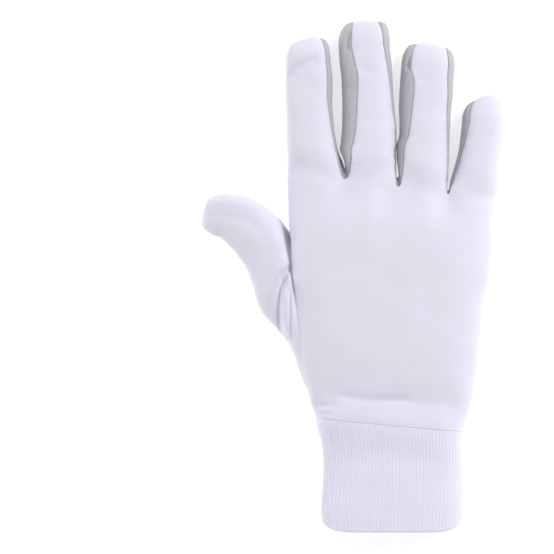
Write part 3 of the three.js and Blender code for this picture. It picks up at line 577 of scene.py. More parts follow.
def finger_grids(f, web_left_x, web_right_x):
    """A finger's back, palm and gray sides. Every point moves from the hand's section at the web to the
    finger's own section: over WEB blend in the middle of the finger, and as a quarter circle over WEB round
    at a gray side, which makes the bottom of the gap between two fingers round. Heights there follow over
    WEB height. Between back and palm, the strip's bottom bulges towards the fingertips."""
    finger = FINGERS[f]
    middle_x = (web_left_x + web_right_x) / 2
    root_y = WEB["y"] - WEB["tilt"] * (middle_x - WEB["x"])
    straight = finger["tip"]["from"] - root_y
    tips = np.linspace(0, math.pi / 2, TIP_ROWS + 1)[1:]
    offset = np.concatenate([
        WEB_ROWS,
        np.linspace(FIRST_ROW, straight, round(straight / LINE_SPACING)),
        straight + (finger["tip"]["y"] - finger["tip"]["from"]) * np.sin(tips),
    ])[:, None]
    tip_angle = np.concatenate([np.zeros(len(offset) - TIP_ROWS), tips])[:, None]
    section = finger_section(finger, root_y + offset, tip_angle)
    tilt = WEB["tilt"] * (1 - smooth(offset / (2 * WEB["blend"])))
    middle = smooth(offset / WEB["blend"])
    at_side = np.sqrt(1 - (1 - np.clip(offset / WEB["round"], 0, 1)) ** 2)
    at_side = np.stack([at_side, at_side, smooth(offset / WEB["height"])], -1)

    def strip(hand_angles, finger_angles):
        """The finger's back or palm between two seams."""
        t = spread(FINGER_COLUMNS)
        beside = np.zeros(len(t))
        if finger["left_seam"] is not None:
            beside = np.maximum(beside, smooth(1 - t / WEB["round_share"]) ** WEB["side_power"])
        if finger["right_seam"] is not None:
            beside = np.maximum(beside, smooth(1 - (1 - t) / WEB["round_share"]) ** WEB["side_power"])
        own = mix(middle[..., None], at_side, beside[:, None])
        on_hand = hand_point(WEB["y"] + offset, mix(hand_angles[0], hand_angles[1], t))
        on_finger = finger_point(section, tilt, middle_x, mix(finger_angles[0], finger_angles[1], t))
        return mix(on_hand, on_finger, own)

    def side(web, start, end):
        """Half of a gray strip, from its bottom at a web up one finger."""
        t = spread(SIDE_COLUMNS)
        back = hand_point(WEB["y"] + offset, BACK_WEBS[web])
        palm = hand_point(WEB["y"] + offset, PALM_WEBS[web])
        on_hand = mix(back, palm, t[:, None])
        cloth = mix(on_hand, finger_point(section, tilt, middle_x, mix(start, end, t)), at_side)
        bulge = WEB_BULGE[web]
        cloth[..., 1] += bulge * np.sin(math.pi * t) ** 4 * (1 - smooth(offset / (3 * bulge)))
        return cloth

    grids = {
        "back": strip(BACK_CELLS[f:f + 2], section["back"]),
        "palm": strip(PALM_CELLS[f:f + 2], section["palm"]),
    }
    if finger["right_seam"] is not None:
        grids["right"] = side(f, section["back"][1], section["palm"][1])
    if finger["left_seam"] is not None:
        grids["left"] = side(f - 1, section["back"][0], section["palm"][0] + 2 * math.pi)
    return grids


def thumb_grid(hole, angle):
    """The thumb: rings that start on the hole in the hand. Each ring's points go from the hole's own
    shape to a rounded section between the ring's inner and outer end, whose top leans inwards."""
    inner_hole = hole["inner"]
    outer_hole = hole["outer"]
    rows = {key: np.concatenate([[start], THUMB[key]]) for key, start in (
        ("row", 0), ("inner_x", inner_hole[0]), ("inner_y", inner_hole[1]),
        ("outer_x", outer_hole[0]), ("outer_y", outer_hole[1]), ("top", THUMB_HOLE["top"]), ("own", 0))}
    last = rows["row"][-1]
    at = last * np.linspace(0, 1, int(last) * THUMB_ROW_STEPS + 1) ** THUMB_ROW_POWER
    value = {key: read(rows, at, key, "row") for key in rows}
    inner = np.stack([value["inner_x"], value["inner_y"]], -1)
    outer = np.stack([value["outer_x"], value["outer_y"]], -1)
    tips = np.linspace(0, math.pi / 2, TIP_ROWS + 1)[1:, None]
    middle = mix((inner[-1] + outer[-1]) / 2, np.array([THUMB_TIP["x"], THUMB_TIP["y"]]), np.sin(tips))
    half = (inner[-1] - outer[-1]) / 2 * mix(THUMB_TIP["flat"], 1, np.cos(tips))
    inner = np.concatenate([inner, middle + half])
    outer = np.concatenate([outer, middle - half])
    swell = np.concatenate([np.ones(len(at)), np.cos(tips[:, 0])])[:, None]
    own = np.concatenate([value["own"], np.ones(TIP_ROWS)])[:, None]
    top = np.concatenate([value["top"], np.full(TIP_ROWS, value["top"][-1])])[:, None]

    lower = mix(FINGER_BACK_ROUNDNESS, FINGER_PALM_ROUNDNESS, swell)
    upper = np.where(np.cos(angle) > 0, THUMB_ROUNDNESS["inner"], THUMB_ROUNDNESS["outer"])[None, :]
    across, up = superellipse(angle[None, :], upper, lower)
    own_share = (1 - across) / 2
    own_share = own_share - THUMB_LEAN * own_share * (1 - own_share) * np.maximum(up, 0)
    span = outer - inner
    sideways = np.stack([span[:, 1], -span[:, 0]], -1)
    sideways /= np.linalg.norm(sideways, axis=1, keepdims=True)
    hole_span = outer_hole[:2] - inner_hole[:2]
    hole_sideways = np.array([hole_span[1], -hole_span[0]]) / np.linalg.norm(hole_span)
    from_hole = hole["points"][:, :2] - inner_hole[:2]
    hole_share = from_hole @ hole_span / (hole_span @ hole_span)
    share = mix(hole_share[None, :], own_share, own)
    drift = (1 - own) * (from_hole @ hole_sideways)[None, :]
    place = inner[:, None] + span[:, None] * share[..., None] + sideways[:, None] * drift[..., None]
    z = mix(hole["points"][None, :, 2], section_height(up, top, swell), own)
    return np.concatenate([place, z[..., None]], -1)


def skin_grids():
    """All the grids of the sewn panels: panel name, grid of points, and whether its faces are turned."""
    rows = hand_rows()
    line = read(LINES, rows, "y", "row")[:, None]
    along_hole = np.clip((rows - THUMB_FROM_LINE) / (THUMB_TO_LINE - THUMB_FROM_LINE), 0, 1)
    rise = THUMB_HOLE["rise"] * np.sin(math.pi * along_hole) ** THUMB_HOLE["power"]
    back_left = BACK_CELLS[0] - rise
    palm_left = np.interp(rows, LINES["row"], LINES["palm_left"])
    curved = read(LINES, rows, "palm_left", "row")
    inside = (rows > THUMB_FROM_LINE) & (rows < THUMB_TO_LINE)
    palm_left = np.where(inside, np.maximum(curved, PALM_CELLS[0]), palm_left)
    back = hand_point(line, across_cells(BACK_CELLS, back_left[:, None]))
    palm = hand_point(line, across_cells(PALM_CELLS, palm_left[:, None]))
    grids = [("back", back, False), ("palm", palm, True)]
    for f in range(len(FINGERS)):
        start = f * FINGER_COLUMNS
        parts = finger_grids(f, back[-1, start, 0], back[-1, start + FINGER_COLUMNS, 0])
        grids.append(("back", parts["back"], False))
        grids.append(("palm", parts["palm"], True))
        if "right" in parts:
            grids.append((f"strip_{f}", parts["right"], False))
        if "left" in parts:
            grids.append((f"strip_{f - 1}", parts["left"], True))
    hole_rows = (rows >= THUMB_FROM_LINE) & (rows <= THUMB_TO_LINE)
    turn = math.pi * (THUMB_TO_LINE - rows[hole_rows]) / (THUMB_TO_LINE - THUMB_FROM_LINE)
    ends = {"inner": back[hole_rows][-1, 0], "outer": back[hole_rows][0, 0]}
    upper = {"points": back[hole_rows][::-1, 0], **ends}
    lower = {"points": palm[hole_rows][:, 0], **ends}
    grids.append(("thumb_back", thumb_grid(upper, turn[::-1]), True))
    grids.append(("thumb_front", thumb_grid(lower, 2 * math.pi - turn), True))
    return grids


def weld(grids):
    """Joins the grids where their points coincide. Gives the points, each panel's faces as rows of four
    point numbers, where a triangle repeats its last one, and each grid's table of point numbers."""
    points = np.concatenate([grid.reshape(-1, 3) for _, grid, _ in grids])
    keys = np.round(points * WELD_STEPS).astype(np.int64)
    span = 1 << 21
    code = ((keys[:, 0] + span // 2) * span + keys[:, 1] + span // 2) * span + keys[:, 2] + span // 2
    _, first, number = np.unique(code, return_index=True, return_inverse=True)
    faces = {}
    layouts = []
    start = 0
    for panel, grid, turned in grids:
        n, m = grid.shape[:2]
        ids = number[start:start + n * m].reshape(n, m)
        start += n * m
        layouts.append((panel, ids))
        quads = np.stack([ids[:-1, :-1], ids[:-1, 1:], ids[1:, 1:], ids[1:, :-1]], -1).reshape(-1, 4)
        if turned:
            quads = quads[:, ::-1]
        faces.setdefault(panel, []).append(tidy_faces(quads))
    return points[first], {panel: np.concatenate(parts) for panel, parts in faces.items()}, layouts


def tidy_faces(quads):
    """Turns a quad with two equal corners into a triangle, and leaves out one with fewer than three."""
    same = np.stack([quads[:, i] == quads[:, (i + 1) % 4] for i in range(4)], -1)
    count = same.sum(1)
    plain = quads[count == 0]
    once = quads[count == 1]
    shift = np.argmax(same[count == 1], 1)
    order = (shift[:, None] + 1 + np.arange(4)[None, :]) % 4
    once = np.take_along_axis(once, order, 1)
    once[:, 3] = once[:, 2]
    return np.concatenate([plain, once])


def face_normals(points, faces):
    """Cross product of the diagonals, or of a triangle's sides, which grows with the face's area."""
    a, b, c, d = (points[faces[:, i]] for i in range(4))
    return np.cross(c - a, np.where((faces[:, 2] == faces[:, 3])[:, None], b - a, d - b)) \
        * np.where(faces[:, 2] == faces[:, 3], -1.0, 1.0)[:, None]


def point_normals(points, faces):
    """Mean direction of the faces at each point, weighted by area."""
    normals = np.zeros_like(points)
    each = face_normals(points, faces)
    for i in range(3):
        np.add.at(normals, faces[:, i], each)
    quads = faces[:, 2] != faces[:, 3]
    np.add.at(normals, faces[quads, 3], each[quads])
    return normals / np.maximum(np.linalg.norm(normals, axis=1, keepdims=True), 1e-9)


def even_out(points, faces, weight, rounds):
    """Moves each point towards the mean of its neighbours, by its weight, for a number of rounds."""
    a = faces[:, [0, 1, 2, 3]].ravel()
    b = faces[:, [1, 2, 3, 0]].ravel()
    a, b = np.unique(np.sort(np.stack([a, b])[:, a != b], axis=0), axis=1)
    near = np.isin(a, np.flatnonzero(weight > 0)) | np.isin(b, np.flatnonzero(weight > 0))
    a, b = a[near], b[near]
    total = np.maximum(np.bincount(a, minlength=len(points)) + np.bincount(b, minlength=len(points)), 1)
    for _ in range(rounds):
        for axis in range(3):
            near_a = np.bincount(a, points[b, axis], len(points))
            near_b = np.bincount(b, points[a, axis], len(points))
            points[:, axis] = mix(points[:, axis], (near_a + near_b) / total, weight)


def unfold(points, faces, rounds=4):
    """Evens out the skin round each face that is turned by more than about a right angle from the mean
    direction at one of its corners. Gives how near each point lies to such a face, from 0 to 1."""
    total = np.zeros(len(points))
    for _ in range(rounds):
        normals = point_normals(points, faces)
        each = face_normals(points, faces)
        turned = np.einsum("ij,ikj->ik", each, normals[faces]).min(1) < 0.12 * np.linalg.norm(each, axis=1)
        if not turned.any():
            break
        near = smooth(1.3 - nearest(points, points[np.unique(faces[turned])])[0] / 2.6)
        even_out(points, faces, 0.5 * near, 24)
        total = np.maximum(total, near)
    return total


def open_edges(faces):
    """Edges that only one face has, in that face's direction."""
    quads = faces[:, 2] != faces[:, 3]
    pairs = [faces[:, [0, 1]], faces[:, [1, 2]], faces[quads][:, [2, 3]], faces[quads][:, [3, 0]],
             faces[~quads][:, [2, 0]]]
    edges = np.concatenate(pairs)
    size = int(faces.max()) + 1
    there = edges[:, 0].astype(np.int64) * size + edges[:, 1]
    back = edges[:, 1].astype(np.int64) * size + edges[:, 0]
    return edges[~np.isin(there, back)]


def nearest(points, samples):
    """For each point, the distance to the nearest sample and that sample's number."""
    distance = np.empty(len(points))
    number = np.empty(len(points), int)
    squares = (samples ** 2).sum(1)
    for start in range(0, len(points), BLOCK):
        part = points[start:start + BLOCK]
        gaps = squares[None, :] - 2 * part @ samples.T
        best = gaps.argmin(1)
        number[start:start + BLOCK] = best
        distance[start:start + BLOCK] = np.linalg.norm(part - samples[best], axis=1)
    return distance, number


def ripple(points, size, seed, count=14):
    """Soft noise between about -1 and 1: the mean of waves in random directions, about size apart."""
    rng = np.random.default_rng(seed)
    direction = rng.normal(size=(count, 3))
    direction /= np.linalg.norm(direction, axis=1, keepdims=True)
    wave = direction * (2 * math.pi / (size * rng.uniform(0.7, 1.5, (count, 1))))
    return np.sin(points @ wave.T + rng.uniform(0, 2 * math.pi, count)).sum(1) / math.sqrt(count)


def path_distance(points, path):
    """Distance in plan to a chain of straight pieces, how far along it, from 0 to 1, and whether the point
    lies on its left."""
    path = np.array(path, float)
    start, step = path[:-1], np.diff(path, axis=0)
    length = np.linalg.norm(step, axis=1)
    before = np.concatenate([[0], np.cumsum(length)[:-1]])
    offset = points[:, None, :2] - start[None]
    t = np.clip((offset * step).sum(-1) / length ** 2, 0, 1)
    gap = np.linalg.norm(offset - t[..., None] * step, axis=-1)
    best = gap.argmin(1)
    rows = np.arange(len(points))
    left = step[best, 0] * offset[rows, best, 1] - step[best, 1] * offset[rows, best, 0] > 0
    return gap[rows, best], (before[best] + t[rows, best] * length[best]) / length.sum(), left


# Folds, as heights above the cloth, where a crease is negative: the panels, the height, the width on the
# path's left and on its right, the share of its length over which it fades in and out, and its path in plan
FOLD_COLUMNS = ("panels", "height", "on_left", "on_right", "fade", "path")
FOLDS = [dict(zip(FOLD_COLUMNS, row)) for row in (
    # thumb: the fold from the thumb's crotch, the crease under it, and the thin folds beside the hand
    ("thumb_back", 1.3, 1.8, 2.2, 0.3, [(-29, 9.5), (-31.5, 7.2), (-36, 3.2), (-39.4, -3), (-42, -11),
                                        (-43, -18)]),
    ("thumb_back", -1.7, 1.5, 1.3, 0.15, [(-29.5, 5), (-31.2, 3.2), (-34.4, -0.4), (-36.3, -8), (-36.9, -17),
                                          (-36.4, -25), (-34.5, -32)]),
    ("thumb_back", -1.8, 1.4, 1.0, 0.2, [(-30.6, 5.5), (-32.6, 2.6), (-34, -0.5), (-35.2, -4.5)]),
    ("thumb_back", 1.0, 1.2, 1.1, 0.25, [(-30.5, 1), (-33.8, -5), (-34.9, -13), (-34.3, -22), (-32, -32)]),
    ("thumb_back", -1.0, 0.8, 0.8, 0.25, [(-30.6, -3.5), (-31.3, -10), (-31.3, -17), (-30.8, -26),
                                          (-29, -36)]),
    ("back thumb_back", 2.4, 2.4, 2.0, 0.3, [(-31.6, 18), (-31.4, 8), (-30.8, -1), (-29.8, -9)]),
    ("back thumb_back", 0.6, 3.2, 2.6, 0.2, [(-30.6, 2), (-29.6, -8), (-28.2, -17), (-26, -30), (-23, -42),
                                             (-20, -50)]),
    ("back", 2.0, 4.5, 1.6, 0.3, [(-30.8, 36), (-30.6, 16), (-30.0, 4), (-28.6, -14)]),
    ("thumb_back", 1.0, 5, 5, 0.3, [(-35.5, 29), (-33.6, 20), (-33, 12)]),
    ("thumb_back", -0.8, 3.0, 3.0, 0.3, [(-76, 29), (-66, 30), (-54, 28), (-42, 20)]),
    ("thumb_back", 0.6, 2.2, 2.2, 0.3, [(-73, 36), (-63, 37.5), (-54, 35.5), (-44, 31)]),
    # crease above the cuff, the puffed band below it, and the pinched folds at the left
    ("back", -1.0, 2.4, 0.9, 0.3, [(-12, -60.2), (-2, -61.4), (4.3, -62.6), (10.3, -62.9), (24, -62.2),
                                   (34, -62.6)]),
    ("back", -1.1, 7.0, 4.5, 0.12, [(-18, -60.6), (4, -62.6), (24, -62.2), (48.5, -63.2), (56, -64)]),
    ("back", -1.1, 1.6, 0.9, 0.25, [(-21, -62), (-17, -65.4), (-12, -64.6), (-8, -62.8)]),
    ("back", -0.8, 0.9, 0.9, 0.25, [(-20, -68.4), (-15.5, -69), (-11, -68.2)]),
    ("back", -0.9, 11, 9, 0.3, [(-20, -52), (-6, -55), (14, -55)]),
    # hand: shallow hollows and ridges below the fingers
    ("back", -0.8, 9, 9, 0, [(-20, 42), (-12, 34)]),
    ("back", 0.7, 4.5, 4.5, 0.3, [(10, 58), (10, 42), (9, 30), (8, 18)]),
    ("back", -0.6, 4.5, 4.5, 0, [(27, 49), (30, 43)]),
    ("back", -0.7, 5, 5, 0, [(56, 48), (58, 43)]),
    ("back", 0.5, 5, 5, 0.3, [(38, 44), (37, 30), (34, 18)]),
    ("back", -0.5, 7, 7, 0.2, [(-24, 12), (-8, 6), (10, 10)]),
    # palm: the end of the padding, and creases across two fingers
    ("palm", -0.5, 0.9, 0.9, 0.1, [(-27, 22.5), (-8, 20.5), (20, 20), (45, 21), (64, 24)]),
    ("palm", -0.7, 1.2, 1.2, 0.15, [(-5, 61), (3, 59.5), (14, 59.5), (21.5, 61)]),
    ("palm", -0.7, 1.2, 1.2, 0.15, [(22.5, 58), (31, 56.5), (41, 56.5), (48, 58)]),
    # fingers
    ("back", -0.9, 5, 9, 0.2, [(-35, 90), (-29, 97), (-20, 102)]),
    ("back", -1.8, 2.2, 2.4, 0.2, [(-32.5, 97), (-27.1, 102.7), (-21.6, 106.6), (-16.5, 108.4)]),
    ("back", 0.8, 3.0, 3.0, 0.2, [(-30, 106), (-25, 109.5), (-20, 112)]),
    ("back", -0.45, 2.2, 2.2, 0.3, [(1, 104), (8, 101), (15, 103)]),
    ("back", -0.4, 2.5, 2.5, 0.3, [(31, 100), (36, 97), (42, 99)]),
    ("back", -0.35, 2.2, 2.2, 0.3, [(2, 78), (9, 76), (18, 79)]),
    ("back", -0.4, 2.2, 2.2, 0.3, [(60, 72), (65, 69.5), (71, 71.5)]),
    ("strip_0", -1.7, 0.8, 1.0, 0.25, [(-1.0, 121.5), (-2.4, 117.5), (-2.4, 113.5), (-1.6, 110.5)]),
    ("strip_1", -1.7, 0.9, 1.1, 0.25, [(31.2, 112), (29.0, 108.2), (27.5, 104.8), (28.2, 101)]),
    ("strip_1", -0.8, 0.8, 0.8, 0.2, [(22.6, 71), (24.6, 68.5), (26, 69)]),
    ("strip_0", -0.6, 1.6, 1.6, 0.2, [(-5, 96), (-2, 92), (1.5, 93)]),
)]

GLOVE = {}


def glove_skin(sizes):
    """The welded skin with its folds, seam dips and gathers, kept until the sizes that it depends on change.
    The skin is evened out at the web line and at the thumb's root. Then each point moves along the normal, by
    a dip at the seam, gathers beside it and soft waves elsewhere, and upwards or downwards by the folds. The
    bottoms of the gaps between the fingers count as near a seam, so that they get the same painted shade in
    their colour."""
    made_for = (sizes.seam_depth, sizes.pucker)
    if GLOVE.get("made_for") == made_for:
        return GLOVE
    points, panels, layouts = weld(skin_grids())
    everything = np.concatenate(list(panels.values()))
    used = {panel: np.unique(faces) for panel, faces in panels.items()}
    owners = np.zeros(len(points), int)
    for ids in used.values():
        owners[ids] += 1
    seam_points = points[owners > 1]
    distance, nearest_seam = nearest(points, seam_points)
    on_soft_seam = np.intersect1d(used["back"], used["thumb_back"])
    near_soft_seam = smooth(1 - nearest(points, points[on_soft_seam])[0] / SOFT_SEAM["width"])
    above_cuff = points[:, 1] + CUFF_SEAM["tilt"] * (points[:, 0] - CUFF_SEAM["x"]) - CUFF_SEAM["y"]
    above_web = points[:, 1] + WEB["tilt"] * (points[:, 0] - WEB["x"]) - WEB["y"]
    base = points.copy()
    narrow = even_skin(points, everything, distance, above_web, near_soft_seam)
    normals = point_normals(points, everything)
    distance += SOFT_SEAM["flatter"] * near_soft_seam

    pucker = sizes.pucker / MM
    lift = -sizes.seam_depth / MM * bell(distance / SEAM["dip"])
    gather = ripple(seam_points, SEAM["gather"], 3)[nearest_seam]
    lift += pucker * gather * np.exp(-distance / SEAM["gather_to"]) * smooth(distance / SEAM["gather_from"])
    small = SEAM["small_share"] * ripple(seam_points, SEAM["small"], 4)[nearest_seam]
    lift += pucker * small * bell((distance - SEAM["small_at"]) / SEAM["small_width"])
    lift *= 1 - narrow
    for height, size, seed, full_at in SOFT_WAVES:
        lift += height * ripple(points, size, seed) * smooth(distance / full_at)
    from_cuff = smooth(above_cuff / CUFF_SEAM["fade"])
    moved = points + normals * (lift * from_cuff)[:, None]
    moved[:, 2] += fold_rise(points, normals, distance, used) * from_cuff
    moved[:, 2] = np.maximum(moved[:, 2], 0)
    narrow = np.maximum(narrow, unfold(moved, everything))

    # Painted shade: near the webs the gray strips count as close to a seam, so that the gap bottoms are
    # painted darker
    strips = np.concatenate([used[f"strip_{f}"] for f in range(len(FINGERS) - 1)])
    distance[strips] = np.minimum(distance[strips], nearest(moved[strips], web_points())[0] / WEB["painted_shade"])
    normals = point_normals(moved, everything)
    wrist = np.unique(open_edges(everything))
    plane = np.array([CUFF_SEAM["tilt"], 1, 0]) / math.hypot(CUFF_SEAM["tilt"], 1)
    flat = normals[wrist] - (normals[wrist] @ plane)[:, None] * plane
    normals[wrist] = flat / np.linalg.norm(flat, axis=1, keepdims=True)
    GLOVE.update(made_for=made_for, points=moved, normals=normals, panels=panels, layouts=layouts,
                 distance=distance, narrow=narrow, base=base)
    return GLOVE


def web_points():
    """The ends of the webs, on the back and on the palm."""
    return np.concatenate([hand_point(WEB["y"], BACK_WEBS), hand_point(WEB["y"], PALM_WEBS)])


def even_skin(points, faces, distance, above_web, near_soft_seam):
    """Evens out the skin at the web line and along the upper seam of the thumb. Gives how narrow the hollow
    is at each point, from 0 to 1: it is narrow near a web and where the skin was folded on itself."""
    at_web = smooth(1 - np.abs(above_web - EVENING["above_web"]) / EVENING["web_width"])
    at_web *= smooth((distance - EVENING["seam"]) / EVENING["seam_fade"])
    at_thumb = near_soft_seam * smooth((EVENING["thumb_top"] - points[:, 1]) / EVENING["thumb_fade"])
    at_thumb *= smooth(points[:, 2] / EVENING["thumb_height"])
    even_out(points, faces, EVENING["weight"] * at_web, EVENING["web_rounds"])
    even_out(points, faces, EVENING["weight"] * at_thumb, EVENING["thumb_rounds"])
    narrow = unfold(points, faces)
    return np.maximum(narrow, smooth(1.4 - nearest(points, web_points())[0] / WEB["narrow"]))


def fold_rise(points, normals, distance, used):
    """Height of all the folds at each point. A fold's section is a bell across its path, it is full where
    the cloth faces up, or down on the palm, and it ends at the seams."""
    rise = np.zeros(len(points))
    for fold in FOLDS:
        ids = np.unique(np.concatenate([used[name] for name in fold["panels"].split()]))
        side = -1 if fold["panels"] == "palm" else 1
        facing = side * smooth(normals[ids, 2] * side / 0.6 + 0.3)
        gap, along, left = path_distance(points[ids], fold["path"])
        shape = fold["height"] * bell(gap / np.where(left, fold["on_left"], fold["on_right"]))
        if fold["fade"] > 0:
            shape *= smooth(along / fold["fade"]) * smooth((1 - along) / fold["fade"])
        rise[ids] += shape * facing * smooth(distance[ids] / SEAM["fold_from"])
    return rise


def cloth_mesh(name, skin, panel, wall):
    """A closed mesh from a panel: the skin outside, the same skin moved in by the wall inside, thinner where
    the hollow is narrow, and a rim along the open edges."""
    ids, local = np.unique(skin["panels"][panel], return_inverse=True)
    local = local.reshape(skin["panels"][panel].shape)
    count = len(ids)
    outer = skin["points"][ids]
    inner = outer - skin["normals"][ids] * (wall * (1 - THINNER * skin["narrow"][ids]))[:, None]
    inner[:, 2] = np.maximum(inner[:, 2], LOWEST_INSIDE)
    a, b = open_edges(local).T
    rim = np.stack([b, a, a + count, b + count], -1)
    inside = local[:, ::-1] + count
    inside_triangles = local[:, 2] == local[:, 3]
    inside[inside_triangles] = local[inside_triangles][:, [2, 1, 0, 0]] + count
    everything = np.concatenate([local, inside, rim])
    points = np.concatenate([outer, inner]) * MM
    base = np.concatenate([skin["base"][ids]] * 2) * MM
    # Distance to a seam, which the material turns into painted shade
    seam = np.concatenate([skin["distance"][ids]] * 2)
    sharp = np.arange(len(everything)) >= len(everything) - len(rim)
    return put_mesh(name, points, everything, base[:, :2], seam, sharp)


def stitch_paths(skin, sizes):
    """The stitches' middle lines and the cloth's normals along them, on the back and on the palm. A stitch
    starts at the seam, slants over STITCH columns of the cloth's grid and by the stitch length along the
    seam, and arches between its two sunk ends."""
    radius = sizes.thread / MM / 2
    u = np.linspace(0, 1, STITCH["rings"])
    paths = []
    normals = []
    for panel in ("back", "palm"):
        fingers = [ids for name, ids in skin["layouts"] if name == panel][1:]
        for f, on_left in STITCHED_SEAMS:
            ids = fingers[f] if on_left else fingers[f][:, ::-1]
            first = np.arange(len(WEB_ROWS), len(ids) - TIP_ROWS - 4, STITCH["every"])
            row = first[:, None] + sizes.stitch_length / MM / LINE_SPACING * u[None, :]
            column = np.broadcast_to(STITCH["from"] + STITCH["columns"] * u[None, :], row.shape)
            normal = sample(skin["normals"], ids, row, column)
            height = radius * (STITCH["arch"] * np.sin(math.pi * u) - STITCH["sunk"])
            paths.append(sample(skin["points"], ids, row, column) + normal * height[None, :, None])
            normals.append(normal)
    return np.concatenate(paths), np.concatenate(normals)


def stitch_mesh(name, sizes):
    """Short threads beside the gray strips: each is a thin tube round its path, with six sides and rounded
    ends."""
    path, normal = stitch_paths(glove_skin(sizes), sizes)
    rings = STITCH["rings"]
    sides = 6
    u = np.linspace(0, 1, rings)
    along = np.gradient(path, axis=1)
    along /= np.linalg.norm(along, axis=2, keepdims=True)
    side = np.cross(along, normal)
    side /= np.linalg.norm(side, axis=2, keepdims=True)
    up = np.cross(side, along)
    turn = (2 * math.pi * np.arange(sides) / sides)[:, None]
    girth = sizes.thread / MM / 2 * np.sqrt(np.clip(1 - (2 * u - 1) ** 6, 0.05, 1))
    around = np.cos(turn) * side[:, :, None] + np.sin(turn) * up[:, :, None]
    points = path[:, :, None] + girth[None, :, None, None] * around
    points[..., 2] = np.maximum(points[..., 2], 0)
    ids = np.arange(len(path) * rings * sides).reshape(len(path), rings, sides)
    beside = np.roll(ids, -1, axis=2)
    walls = np.stack([ids[:, :-1], beside[:, :-1], beside[:, 1:], ids[:, 1:]], -1).reshape(-1, 4)
    start = ids[:, 0][:, [[0, 5, 4, 3], [0, 3, 2, 1]]].reshape(-1, 4)
    end = ids[:, -1][:, [[0, 1, 2, 3], [0, 3, 4, 5]]].reshape(-1, 4)
    return put_mesh(name, points.reshape(-1, 3) * MM, np.concatenate([walls, start, end]))


def sample(values, ids, row, column):
    """Values at fractional rows and columns of a grid of point numbers."""
    i = np.clip(row.astype(int), 0, ids.shape[0] - 2)
    j = np.clip(column.astype(int), 0, ids.shape[1] - 2)
    a = (row - i)[..., None]
    b = (column - j)[..., None]
    return mix(mix(values[ids[i, j]], values[ids[i, j + 1]], b),
               mix(values[ids[i + 1, j]], values[ids[i + 1, j + 1]], b), a)


def put_mesh(name, points, faces, flat=None, seam=None, sharp=None):
    """Writes points and faces into a new smooth-shaded object, with a flat layout and the distance to
    the nearest seam, which sets the painted shade in the colour. The faces marked sharp are shaded flat."""
    quads = faces[:, 2] != faces[:, 3]
    total = np.where(quads, 4, 3)
    start = np.concatenate([[0], np.cumsum(total)[:-1]])
    keep = np.ones(faces.shape, bool)
    keep[~quads, 3] = False
    corners = faces[keep]
    mesh = bpy.data.meshes.new(name)
    mesh.vertices.add(len(points))
    mesh.vertices.foreach_set("co", points.astype(np.float32).ravel())
    mesh.loops.add(len(corners))
    mesh.loops.foreach_set("vertex_index", corners.astype(np.int32))
    mesh.polygons.add(len(faces))
    mesh.polygons.foreach_set("loop_start", start.astype(np.int32))
    mesh.polygons.foreach_set("loop_total", total.astype(np.int32))
    mesh.polygons.foreach_set("use_smooth", np.ones(len(faces), bool) if sharp is None else ~sharp)
    if flat is not None:
        layer = mesh.uv_layers.new(name="Cloth")
        layer.data.foreach_set("uv", flat[corners].astype(np.float32).ravel())
    if seam is not None:
        attribute = mesh.attributes.new("seam", "FLOAT", "POINT")
        attribute.data.foreach_set("value", seam.astype(np.float32))
    mesh.update(calc_edges=True)
    if mesh.validate():
        raise RuntimeError(f"{name}: its mesh had faults")
    piece = bpy.data.objects.new(name, mesh)
    bpy.context.scene.collection.objects.link(piece)
    return piece


# The cuff

def cuff_point(y, angle, depth):
    """The cuff: a rounded section that lies the given depth inside the cuff's outer form."""
    across, up = superellipse(angle, BACK_ROUNDNESS, PALM_ROUNDNESS)
    left = read(CUFF, y, "left") + depth
    right = read(CUFF, y, "right") - depth
    top = read(CUFF, y, "top")
    z = np.where(up >= 0, mix(top * WIDEST_SHARE, top - depth, up), section_height(up, top))
    x = mix(left, right, (across + 1) / 2)
    return np.stack(np.broadcast_arrays(x, y, np.maximum(depth, z)), -1)


def cuff_lengths():
    """Length round the cuff's middle section at finely spaced angles, and those angles."""
    angle = np.linspace(0, 2 * math.pi, 7201)
    ring = cuff_point(CUFF_MIDDLE, angle, 0.0)
    return np.concatenate([[0], np.cumsum(np.linalg.norm(np.diff(ring, axis=0), axis=1))]), angle


def rib_shift(y, straight, top):
    """How far a rib lies beside its straight place: two sine waves along it, and two slow leans, all of them
    fullest at the back's left."""
    at_left = bell((straight - LEAN["at"]) / LEAN["width"])
    waver = 0.5 * np.sin(y / 4.0 + 0.6) + 0.25 * np.sin(y / 1.9 + straight)
    lean = sum(shift * smooth((start - y) / over) for shift, start, over in LEANS)
    return (mix(LEAN["elsewhere"], 1, at_left) * waver + at_left * lean) * smooth((top - y) / LEAN["fade"])


def rib_depth(y, straight, top, height):
    """Depth of the grooves between the ribs: half of one minus a cosine across each rib, times a random share
    for each rib and slow changes along it. It is fullest at the back's left, and grows from nothing below the
    seam."""
    number = np.arange(len(straight))
    each = np.random.default_rng(5).uniform(*RIB["shares"], RIBS)[number // RIB["steps"]]
    uneven = 0.85 + 0.15 * np.sin(y / 5.0 + 3 * straight) * np.sin(y / 2.3 + straight)
    groove = (0.5 - 0.5 * np.cos(2 * math.pi * number / RIB["steps"])) * each * uneven * height
    at_left = bell((straight - RIB["at"]) / RIB["width"])
    return groove * mix(RIB["elsewhere"], 1, at_left) * smooth((top - y) / RIB["grow"])


def dent_depth(x, y, angle, top, bottom):
    """Depth of the dents in the cuff's back: a bell for each row of DENTS, and soft slanting waves."""
    dent = sum(depth * bell((x - at_x) / x_width) * bell((y - at_y) / y_width)
               for depth, at_x, x_width, at_y, y_width in DENTS)
    dent = dent + 0.25 * smooth(np.sin(y / 4.5 + x / 9) * 0.5 + 0.5)
    return dent * smooth(np.sin(angle) / 0.4) * smooth((top - y) / 6) * smooth((y - bottom) / 8)


